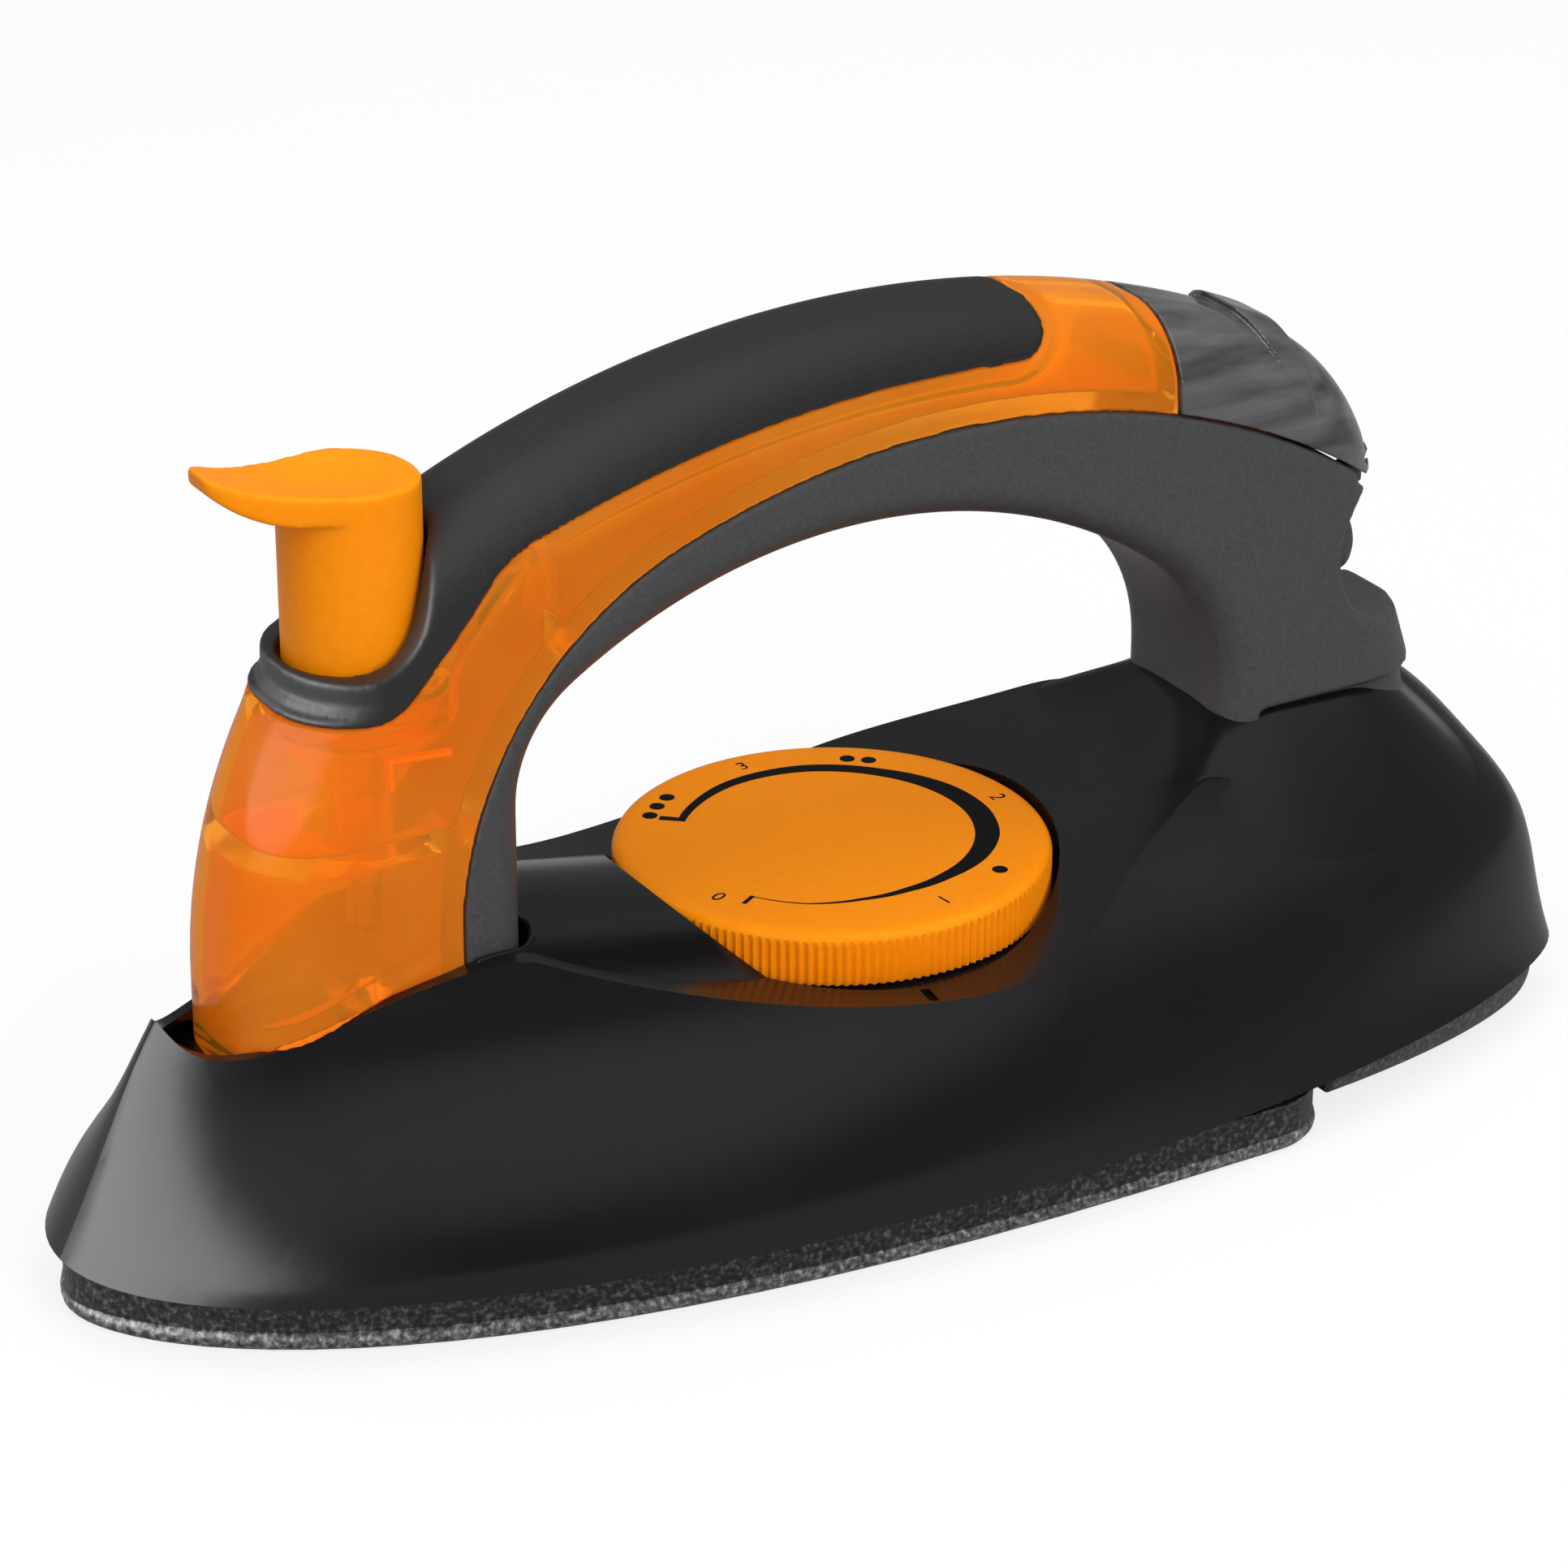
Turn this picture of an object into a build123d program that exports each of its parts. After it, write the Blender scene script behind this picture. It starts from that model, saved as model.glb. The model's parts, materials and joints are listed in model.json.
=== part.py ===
from build123d import *
import math
import os

# Travel steam iron. Millimetres, +Z up, nose towards -X, soleplate bottom at z = 0.

# Overall sizes
nose_x = -100.0
tail_x = 100.0
half_beam = 43.3
grip_top_z = 102.9
far = 140.0

# Soleplate
sole_nose_x = nose_x + 1.0
sole_rear_x = 51.0
sole_half = half_beam - 2.8
sole_shoulder_x = 22.0
sole_flange = 6.4
sole_edge_round = 1.6
sole_corner = 9.0
platform_inset = 6.0
platform_top = 11.0
vent_radius = 1.3
chamber_floor = 4.5
chamber_margin = 3.8

# Heater and shield
heater_radius = 3.2
heater_half = sole_half - 15.5
heater_rear_x = 42.0
heater_nose_x = sole_nose_x + 15.0
heater_bend_x = heater_nose_x + 52.0
heater_z = platform_top + 1.3
cover_thick = 1.8
shield_z = 17.0
shield_thick = 0.8
shield_rear_x = 78.0
post_radius = 3.6
post_front = (nose_x + 42.0, 20.5)
post_rear = (sole_rear_x - 13.0, 13.0)

# Body shell
shell_wall = 2.2
skirt_gap = 1.2
skirt_z = sole_flange + skirt_gap
bow_z = 35.0
scoop_z = 31.2
crest_x = nose_x + 54.0
crest_z = 38.4
deck_low_z = 28.2
ramp_front_z = 40.9
ramp_rear_z = 36.7
ramp_run = 23.0
ramp_radius = 34.0
hump_z = 42.0
tray_top = 27.5
tray_thick = 2.0
bow_open_x = crest_x - 11.0
boss_radius = 4.0
tail_boss = (64.0, 17.0)
front_boss = 9.0
cover_boss = (86.0, 10.0)
pointer_angle = -99.0
cover_low = 4.2

# Screws
screw_radius = 1.4
screw_head = 2.9
screw_head_thick = 2.0
screw_clear = 0.2

# Handle
handle_half = 12.0
handle_round = 9.7
tank_face_x = nose_x + 20.0
tank_knee_z = 36.0
collar_front_x = tank_face_x + 8.9
collar_kink = 8.0
brow_round = 5.0
grip_radius = 135.0
grip_peak_x = 6.3
cap_radius = 29.5
cap_turn = 23.5
heel_x = tail_x - 14.0
seam_front_x = tank_face_x + 27.0
seam_corner = 45.0
seam_peak_x = 13.1
seam_peak_z = grip_top_z - 13.0
seam_gap = 0.15
gap_front_x = seam_front_x + 8.4
gap_rear_x = 52.4
gap_peak_x = 0.8
gap_top_z = grip_top_z - 23.3
gap_radius = 70.6
gap_corner = 16.0
gap_rear_corner = 24.0
gap_edge_round = 4.2
socket_gap = 1.2
bite_x = 78.8
bite_z = grip_top_z - 41.7
bite_radius = 10.0
leg_core_x = gap_rear_x + 10.6
leg_core_end = leg_core_x + 11.0
leg_wall = 3.0
leg_top_z = hump_z + 11.0
leg_screw_x = gap_rear_x + 4.6
leg_seat_z = hump_z - 9.0
lead_hole_x = leg_core_x + 7.0
lead_hole = 5.0
leg_shadow_z = hump_z + 1.8
leg_shadow = 1.4
foot_screw_x = seam_front_x + 4.0
boss_hole = 10.0

# Grip cover
grip_seam_peak_x = 9.1
grip_seam_peak_z = grip_top_z - 6.2
grip_seam_radius = 149.4
grip_end_x = 27.0
grip_thick = 2.4
grip_front_x = seam_front_x + 7.0
collar_seam_z = grip_top_z - 32.9
collar_top_z = collar_seam_z + 5.2
collar_skirt = 1.0
collar_inset = 0.6
bay_round = 9.0

# Water tank
tank_wall = 1.8
tank_roof = 3.0
shelf_z = 52.0
shelf_thick = 2.6
shelf_hole = 7.0
baffle_x = seam_front_x + 12.0
baffle_thick = 1.6

# Filler cap
cap_front_x = 43.8
cap_wall = 1.8
cap_gap = 0.3
cap_pin_depth = 2.0
cap_pin_turn = 17.3
cap_lip = 1.8
seam_below_pin = 2.9
pin_relief = 3.5
cap_pin_radius = 0.7
pin_clear = 0.05
cap_knuckle_half = 4.0
ear_radius = 1.4
ear_thick = 2.7
ridge_high = 1.0
ridge_front_x = 58.3
ridge_wide = 4.6
filler_x = cap_front_x + 7.2
filler_depth = 6.9
filler_hole = 4.6
filler_slope = 32.0
mouth_end_x = filler_x + 9.0
mouth_inset = cap_wall + 0.8
gasket_radius = 6.4
gasket_thick = 1.6

# Steam button
button_x = tank_face_x + 20.0
stalk_radius = 8.2
well_clear = 0.5
button_travel = 6.0
stalk_bottom = collar_seam_z + 3.0
stalk_bore = 6.4
pad_low_z = grip_top_z - 10.5
pad_tip_x = button_x - 14.2
pad_tip_radius = 4.6
dish_radius = 32.0
sleeve_clear = 0.25
sleeve_wall = 0.75
sleeve_floor = collar_seam_z - 3.5
seal_radius = 3.6
seal_deep = 1.6
rod_radius = 2.0
rod_tip_z = 39.0
rod_top_z = pad_low_z - 10.4
spring_radius = 4.8
spring_wire = 0.5
spring_turns = 7
spring_top = pad_low_z - 4.4

# Nozzle
nozzle_radius = 3.0
nozzle_flange = 4.6
nozzle_bore = 0.9
seal_thick = 1.0

# Dial
dial_x = 3.0
dial_radius = half_beam - 16.7
dial_top = 35.3
dial_gap = 0.4
dial_clear = 0.9
dial_plate = 2.6
dial_rim = 3.0
knurl_count = 150
knurl_depth = 0.35
hub_radius = 5.0
spindle_radius = 2.5
running_clear = 0.05

# Cord bush
bush_x = bite_x - 12.4
bush_z = bite_z - 1.6
bush_radius = 6.8
bush_clear = 0.05
cord_radius = 3.2

# Inner wiring
terminal_x = 69.0
lead_x = sole_rear_x + 3.5


def slab(face, half):
    return extrude(Plane.XZ * face, half, both=True)


def block(x0, x1, y0, y1, z0, z1):
    box = Box(x1 - x0, y1 - y0, z1 - z0, align=(Align.MIN, Align.MIN, Align.MIN))
    return Pos(x0, y0, z0) * box


def post(x, y, z0, z1, radius):
    return Pos(x, y, z0) * Cylinder(radius, z1 - z0, align=(Align.CENTER, Align.CENTER, Align.MIN))


def arc_z(x, peak_x, peak_z, radius):
    return peak_z - radius + math.sqrt(radius**2 - (x - peak_x) ** 2)


def arc(x0, x1, peak_x, peak_z, radius):
    points = [(x, arc_z(x, peak_x, peak_z, radius)) for x in (x0, (x0 + x1) / 2, x1)]
    return ThreePointArc(*points)


def round_at(face, x, z, radius):
    corner = face.vertices().sort_by_distance((x, z, 0))[0]
    return fillet(corner, radius)


def cap_centre():
    reach = grip_radius - cap_radius
    turn = math.radians(cap_turn)
    return grip_peak_x + reach * math.sin(turn), grip_top_z - grip_radius + reach * math.cos(turn)


# Hinge pin of the cap, just inside the rear of its arc
def cap_pin():
    cx, cz = cap_centre()
    reach = cap_radius - cap_pin_depth
    turn = math.radians(cap_pin_turn)
    return cx + reach * math.cos(turn), cz + reach * math.sin(turn)


cap_pin_x, cap_pin_z = cap_pin()
cap_lip_z = cap_pin_z - cap_lip
seam_drop = seam_peak_z - cap_pin_z + seam_below_pin
seam_radius = ((cap_pin_x - seam_peak_x) ** 2 + seam_drop**2) / (2 * seam_drop)
filler_z = arc_z(filler_x, grip_peak_x, grip_top_z, grip_radius) - filler_depth
post_places = [(x, side * y) for x, y in (post_front, post_rear) for side in (1, -1)]


# Half of a bow outline, from the tip to the widest station
def bow_points(tip_x, station, half, blunt, full):
    reach = (station - tip_x) * full
    return [(tip_x, 0), (tip_x, blunt * half), (station - reach, half), (station, half)]


# Half of a stern outline, squarer than the bow
def stern_points(tip_x, station, half, blunt, corner_back, corner_out, full):
    run = tip_x - station
    corner = (tip_x - corner_back * run, corner_out * half)
    return [(tip_x, 0), (tip_x, blunt * half), corner, (station + full * run, half), (station, half)]


def leaf(z, front, rear, half, station, bow, stern):
    edges = []
    for side in (1, -1):
        for points in (bow_points(front, station, half, *bow), stern_points(rear, station, half, *stern)):
            edges.append(Bezier(*[(x, side * y, z) for x, y in points]))
    return make_face(edges)


# Hull levels: height, bow, stern, half beam, station of the beam, bow shape, stern shape
def hull_levels():
    return (
        (skirt_z, nose_x, tail_x, half_beam, 8.0, (0.60, 0.50), (0.72, 0.03, 0.40, 0.85)),
        (19.0, nose_x + 5.6, tail_x - 1.2, half_beam - 3.5, 5.0, (0.50, 0.42), (0.70, 0.03, 0.42, 0.72)),
        (30.0, nose_x + 10.8, tail_x - 5.0, half_beam - 11.1, 15.0, (0.41, 0.125), (0.60, 0.08, 0.55, 0.42)),
        (38.0, nose_x + 15.4, tail_x - 11.5, half_beam - 19.5, 3.0, (0.42, 0.26), (0.41, 0.35, 0.775, 0.225)),
        (44.0, nose_x + 18.5, tail_x - 19.5, half_beam - 26.8, 10.0, (0.46, 0.40), (0.41, 0.275, 0.775, 0.34)),
    )


def hull(inset):
    sections = []
    for z, front, rear, half, station, bow, stern in hull_levels():
        sections.append(leaf(z, front + inset, rear - inset, half - inset, station, bow, stern))
    return loft(sections)


def skirt_outline(inset):
    z, front, rear, half, station, bow, stern = hull_levels()[0]
    return leaf(0, front + inset, rear - inset, half - inset, station, bow, stern)


# Space above the deck: scoop at the bow, crest before the front leg, dish for the dial, hump at the rear leg
def above_deck(drop):
    fall = (crest_z - deck_low_z) / (dial_x - crest_x)
    scoop = [(nose_x + 12.5, bow_z + 1.6), (nose_x + 15.4, bow_z - 3.0), (nose_x + 20, scoop_z),
             (crest_x - 22, scoop_z + 3.2), (crest_x - 10, crest_z - 0.5), (crest_x, crest_z)]
    rise = hump_z - deck_low_z
    dish = [(dial_x, deck_low_z), (dial_x + 15, deck_low_z + 0.17 * rise), (dial_x + 27, deck_low_z + 0.51 * rise),
            (dial_x + 37, deck_low_z + 0.73 * rise), (dial_x + 44, deck_low_z + 0.81 * rise),
            (gap_rear_x + 1.6, deck_low_z + 0.68 * rise), (gap_rear_x + 8.6, hump_z - 0.6), (gap_rear_x + 17, hump_z)]
    scoop = [(x, z - drop) for x, z in scoop]
    dish = [(x, z - drop) for x, z in dish]
    lines = [
        Spline(*scoop, tangents=((0.4, -1), (1, -fall)), tangent_scalars=(1, 1)),
        ThreePointArc(scoop[-1], deck_middle(drop), dish[0]),
        Spline(*dish, tangents=((1, 0), (1, 0))),
        Polyline(dish[-1], (far, hump_z - drop), (far, far), (-far, far), (-far, scoop[0][1]), scoop[0]),
    ]
    return slab(make_face(lines), 60)


# Halfway point of the arc that falls from the crest to the dial
def deck_middle(drop):
    run = dial_x - crest_x
    rise = crest_z - deck_low_z
    radius = (run**2 + rise**2) / (2 * rise)
    return dial_x - run / 2, deck_low_z - drop + radius - math.sqrt(radius**2 - run**2 / 4)


# Side view of the whole handle without the finger gap
def handle_face():
    cx, cz = cap_centre()
    turn = math.radians(cap_turn)
    join = (cx + cap_radius * math.sin(turn), cz + cap_radius * math.cos(turn))
    middle = (cx + cap_radius * math.cos(turn / 2), cz + cap_radius * math.sin(turn / 2))
    end = (cx + cap_radius, cz)
    brow_z = arc_z(collar_front_x, grip_peak_x, grip_top_z, grip_radius)
    lean = collar_front_x - tank_face_x
    rise = collar_seam_z - tank_knee_z
    lean_radius = (lean**2 + rise**2) / (2 * lean)
    heel_z = hump_z - 2
    lines = [
        Polyline(end, (heel_x, heel_z), (heel_x, tray_top), (tank_face_x, tray_top), (tank_face_x, tank_knee_z)),
        RadiusArc((tank_face_x, tank_knee_z), (collar_front_x, collar_seam_z), lean_radius),
        Line((collar_front_x, collar_seam_z), (collar_front_x, brow_z)),
        arc(collar_front_x, join[0], grip_peak_x, grip_top_z, grip_radius),
        ThreePointArc(join, middle, end),
    ]
    face = round_at(make_face(lines), collar_front_x, brow_z, brow_round)
    face = round_at(face, collar_front_x, collar_seam_z, collar_kink)
    face = round_at(face, end[0], end[1], 40)
    return round_at(face, heel_x, heel_z, 20)


def gap_face():
    left = arc_z(gap_front_x, gap_peak_x, gap_top_z, gap_radius)
    right = arc_z(gap_rear_x, gap_peak_x, gap_top_z, gap_radius)
    lines = [
        Polyline((gap_rear_x, right), (gap_rear_x, 0), (gap_front_x, 0), (gap_front_x, left)),
        arc(gap_front_x, gap_rear_x, gap_peak_x, gap_top_z, gap_radius),
    ]
    face = round_at(make_face(lines), gap_front_x, left, gap_corner)
    return round_at(face, gap_rear_x, right, gap_rear_corner)


# Everything of the handle that lies under the tank seam
def frame_face():
    left = arc_z(seam_front_x, seam_peak_x, seam_peak_z, seam_radius)
    end_x = heel_x + 4
    right = arc_z(end_x, seam_peak_x, seam_peak_z, seam_radius)
    lines = [
        Polyline((end_x, right), (end_x, 0), (seam_front_x, 0), (seam_front_x, left)),
        arc(seam_front_x, end_x, seam_peak_x, seam_peak_z, seam_radius),
    ]
    return round_at(make_face(lines), seam_front_x, left, seam_corner)


def grip_face():
    rise_x = button_x - 0.5
    left = arc_z(grip_front_x, grip_seam_peak_x, grip_seam_peak_z, grip_seam_radius)
    right = arc_z(grip_end_x, grip_seam_peak_x, grip_seam_peak_z, grip_seam_radius)
    lines = [
        arc(grip_front_x, grip_end_x, grip_seam_peak_x, grip_seam_peak_z, grip_seam_radius),
        Polyline((grip_end_x, right), (grip_end_x, far), (-far, far), (-far, collar_seam_z),
                 (rise_x, collar_seam_z), (grip_front_x, left)),
    ]
    face = round_at(make_face(lines), rise_x, collar_seam_z, 8)
    face = round_at(face, grip_front_x, left, 14)
    return round_at(face, grip_end_x, right, 5)


# Space in front of the grip where the button moves, seen from the side
def bay_face():
    corner = (button_x + 1.4, collar_top_z)
    lean = (button_x + 8.2, pad_low_z)
    points = [(-far, collar_top_z), corner, lean, (lean[0] + 2.2, far), (-far, far)]
    face = make_face(Polyline(*points, close=True))
    return round_at(face, corner[0], corner[1], bay_round)


def blank(inset):
    face = handle_face()
    gap = gap_face()
    if inset != 0:
        face = offset(face, -inset)
        gap = offset(gap, inset)
    half = handle_half - inset
    floor = tray_top + inset
    solid = slab(face, half)
    rims = [e for e in solid.edges() if abs(abs((e @ 0.5).Y) - half) < 0.01]
    rims = [e for e in rims if (e @ 0.5).Z > floor + 0.1]
    solid = fillet(rims, handle_round - inset)
    solid = solid - slab(gap, handle_half + 5)
    if inset == 0:
        rims = [e for e in solid.edges() if abs(abs((e @ 0.5).Y) - half) < 0.01]
        rims = [e for e in rims if near_gap(e @ 0.5)]
        solid = fillet(rims, gap_edge_round)
    return solid


def near_gap(point):
    inside = gap_front_x - 1 < point.X < gap_rear_x + 1
    return inside and tray_top + 1 < point.Z < gap_top_z + 1


# Crowned ramp between the front leg and the dial
def ramp(drop):
    slope = math.atan2(ramp_front_z - ramp_rear_z, ramp_run)
    middle = (dial_x - dial_radius - ramp_run / 2, (ramp_front_z + ramp_rear_z) / 2 - drop)
    barrel = Rot(0, 90 + math.degrees(slope), 0) * Cylinder(ramp_radius, 200)
    barrel = Pos(middle[0], 0, middle[1] - ramp_radius / math.cos(slope)) * barrel
    return barrel & block(gap_front_x - 2.4, dial_x, -far, far, 0, far)


def body_solid():
    return hull(0) - (above_deck(0) - ramp(0))


# Soleplate outline, closed by a straight rear edge with round corners
def sole_face(inset):
    half = sole_half - inset
    rear = sole_rear_x - inset
    edges = []
    for side in (1, -1):
        points = bow_points(sole_nose_x + 1.6 * inset, sole_shoulder_x, half, 0.24, 0.80)
        edges.append(Bezier(*[(x, side * y) for x, y in points]))
        edges.append(Line((sole_shoulder_x, side * half), (rear, side * half)))
    edges.append(Line((rear, -half), (rear, half)))
    face = make_face(edges)
    for side in (1, -1):
        face = round_at(face, rear, side * half, sole_corner)
    return face


def chamber_face():
    wide = heater_half - heater_radius - chamber_margin
    half = [(button_x - 5, 2.5), (button_x + 32, wide), (button_x + 40, wide)]
    other = [(x, -y) for x, y in reversed(half)]
    return make_face(Polyline(*half, *other, close=True))


def heater_path():
    points = [
        (heater_rear_x, -heater_half), (heater_bend_x, -heater_half), (heater_nose_x, 0),
        (heater_bend_x, heater_half), (heater_rear_x, heater_half),
    ]
    return Pos(0, 0, heater_z) * FilletPolyline(*points, radius=5.5)


def heater_tube(radius):
    path = heater_path()
    start = Plane(origin=path @ 0, z_dir=path % 0)
    return sweep(start * Circle(radius), path=path)


def soleplate():
    solid = extrude(sole_face(0), sole_flange)
    low = solid.edges().group_by(Axis.Z)[0]
    solid = fillet(low, sole_edge_round)
    platform = extrude(sole_face(platform_inset), platform_top - sole_flange + 0.4)
    solid += Pos(0, 0, sole_flange - 0.4) * platform
    solid -= Pos(0, 0, chamber_floor) * extrude(chamber_face(), platform_top)
    for step, y in ((4, 0), (14, 0), (24, 0), (34, 0), (14, 6), (24, 10), (34, 13)):
        for side in (1, -1):
            solid -= post(button_x + step, side * y, -1, platform_top, vent_radius)
    solid -= heater_tube(heater_radius + running_clear)
    for side in (1, -1):
        y = side * heater_half
        solid -= block(heater_rear_x - 1, far, y - 1.6, y + 1.6, platform_top - 1, far)
    for x, y in post_places:
        solid += post(x, y, platform_top - 0.5, shield_z, post_radius)
        solid -= post(x, y, platform_top, shield_z + 1, screw_radius + running_clear)
    return solid


def heating_element():
    solid = heater_tube(heater_radius)
    pin = Rot(0, 90, 0) * Cylinder(1.0, 8, align=(Align.CENTER, Align.CENTER, Align.MIN))
    for side in (1, -1):
        solid += Pos(heater_rear_x - 0.5, side * heater_half, heater_z) * pin
    return solid


def steam_chamber_cover():
    solid = Pos(0, 0, platform_top) * extrude(offset(chamber_face(), 2.4), cover_thick)
    return solid - post(button_x, 0, 0, 20, nozzle_radius + running_clear)


def heat_shield():
    z, front, rear, half, station, bow, stern = hull_levels()[1]
    face = leaf(0, front + 5, rear - 5, half - 5, station, bow, stern)
    solid = Pos(0, 0, shield_z) * extrude(face, shield_thick)
    solid &= block(-far, shield_rear_x, -far, far, 0, far)
    solid -= post(dial_x, 0, 0, far, 12)
    solid -= post(button_x, 0, 0, far, nozzle_radius + 1.5)
    for x, y in post_places:
        solid -= post(x, y, 0, far, screw_radius + screw_clear)
    for side in (1, -1):
        solid -= post(tail_boss[0], side * tail_boss[1], 0, far, screw_radius + screw_clear)
        low_y = min(side * (heater_half - 7), side * (heater_half + 3))
        solid -= block(lead_x - 6.5, lead_x + 3.5, low_y, low_y + 10, 0, far)
    return solid


def thermostat():
    solid = block(dial_x - 10, dial_x + 13, -5, 5, platform_top, platform_top + 1.4)
    solid += post(dial_x, 0, platform_top, 20, 5.5)
    solid += block(dial_x - 10, dial_x + 4, -3, 3, 16.0, 16.8)
    solid += block(dial_x - 10, dial_x - 8, -3, 3, platform_top, 16.8)
    return solid - post(dial_x, 0, 14, 21, spindle_radius + running_clear)


def dial_spindle():
    solid = post(dial_x, 0, 14.5, 32.0, spindle_radius)
    return solid - block(dial_x + 1.7, dial_x + 4, -4, 4, 26.0, 33.0)


def thermal_fuse():
    solid = Pos(24, 0, platform_top + 2.2) * Rot(90, 0, 0) * Cylinder(2.2, 11)
    solid += block(22, 30, -1.6, 1.6, platform_top, platform_top + 1.0)
    return solid + block(21.8, 26.2, -1.6, 1.6, platform_top, platform_top + 2.2)


def body_shell():
    outer = body_solid()
    inner = hull(shell_wall)
    shell = outer - (inner - (above_deck(shell_wall) - ramp(shell_wall)))
    # Bow is open above the tray
    shell -= inner & block(-far, bow_open_x, -far, far, tray_top, far)
    tray = block(-far, gap_front_x + 5, -far, far, tray_top - tray_thick, tray_top)
    shell += tray & hull(shell_wall / 2)
    # Dial well with its own floor
    well = dial_radius + dial_clear
    floor = post(dial_x, 0, deck_low_z - shell_wall, deck_low_z + 6, well + shell_wall)
    shell += floor & outer
    shell -= post(dial_x, 0, deck_low_z, far, well)
    shell -= post(dial_x, 0, 0, far, hub_radius + 0.6)
    # Columns that stand on the heat shield or take screws
    low = shield_z + shield_thick
    for side in (1, -1):
        x, y = tail_boss
        shell += post(x, side * y, low, hump_z, boss_radius) & outer
        shell -= post(x, side * y, 0, low + boss_hole, screw_radius + running_clear)
        x, y = cover_boss
        shell += post(x, side * y, skirt_z, hump_z, boss_radius) & outer
        shell -= post(x, side * y, 0, skirt_z + boss_hole, screw_radius + running_clear)
        shell += post(gap_front_x - 2.4, side * front_boss, low, tray_top, boss_radius)
    # Socket of the handle's front leg
    clear = seam_gap * 2
    socket = block(-far, gap_front_x + socket_gap, -handle_half - clear, handle_half + clear, tray_top, far)
    socket = fillet(socket.edges().filter_by(Axis.Z).group_by(Axis.X)[-1], gap_edge_round)
    shell -= socket & inner
    shell -= post(button_x, 0, 0, tray_top + 1, nozzle_radius + 1.0)
    shell -= post(foot_screw_x, 0, 0, tray_top + 1, screw_radius + screw_clear)
    # Under the rear leg: lead hole and screw seat
    shell -= post(lead_hole_x, 0, leg_seat_z - 3, far, lead_hole)
    shell += post(leg_screw_x, 0, leg_seat_z, hump_z, boss_radius) & outer
    shell -= post(leg_screw_x, 0, leg_seat_z - 3, far, screw_radius + screw_clear)
    # Pointer groove beside the dial
    turn = Pos(dial_x, 0, deck_low_z) * Rot(0, 0, pointer_angle)
    shell -= turn * Pos(well + 2.4, 0, 0) * Box(3.2, 1.2, 1.2)
    return shell


def rear_base_cover():
    solid = Pos(0, 0, cover_low) * extrude(skirt_outline(shell_wall + 1.2), 6.0)
    front = sole_rear_x + 0.8
    solid &= block(front, far, -far, far, 0, far)
    low = solid.edges().group_by(Axis.Z)[0]
    low = [e for e in low if (e @ 0.5).X > front + 1]
    solid = fillet(low, 2.0)
    inside = Pos(0, 0, cover_low + 2) * extrude(skirt_outline(shell_wall + 3.2), 20)
    solid -= inside & block(front + 2, far, -far, far, 0, far)
    for side in (1, -1):
        x, y = cover_boss
        solid += post(x, side * y, 5, skirt_z, boss_radius)
        solid -= post(x, side * y, 0, 20, screw_radius + screw_clear)
        solid -= post(x, side * y, 0, cover_low + screw_head_thick, screw_head + screw_clear)
    return solid


# Slotted pan-head screws; way is 1 when the shank points up and -1 when it points down
def screws(places, seat_z, depth, way):
    group = []
    for x, y in places:
        head = seat_z - way * screw_head_thick
        shank = seat_z + way * depth
        screw = post(x, y, min(seat_z, head), max(seat_z, head), screw_head)
        screw += post(x, y, min(seat_z, shank), max(seat_z, shank), screw_radius)
        screw -= Pos(x, y, head) * Box(6, 0.8, 1.6)
        group.append(screw)
    return Compound(children=group)


def shield_screws():
    return screws(post_places, shield_z + shield_thick, 5.4, -1)


def shell_screws():
    places = [(tail_boss[0], side * tail_boss[1]) for side in (1, -1)]
    return screws(places, shield_z, boss_hole, 1)


def cover_screws():
    places = [(cover_boss[0], side * cover_boss[1]) for side in (1, -1)]
    return screws(places, cover_low + screw_head_thick, boss_hole, 1)


def handle_screws():
    rear = screws([(leg_screw_x, 0)], leg_seat_z, boss_hole + 7, 1)
    front = screws([(foot_screw_x, 0)], tray_top - tray_thick, boss_hole + 1, 1)
    return Compound(children=rear.solids() + front.solids())


# What the feet of tank and frame give up so that they nest inside the bow walls
def foot_trim(gap):
    beside = block(-far, gap_front_x, -far, far, 0, far) - hull(shell_wall + gap)
    return beside - above_deck(-gap)


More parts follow.
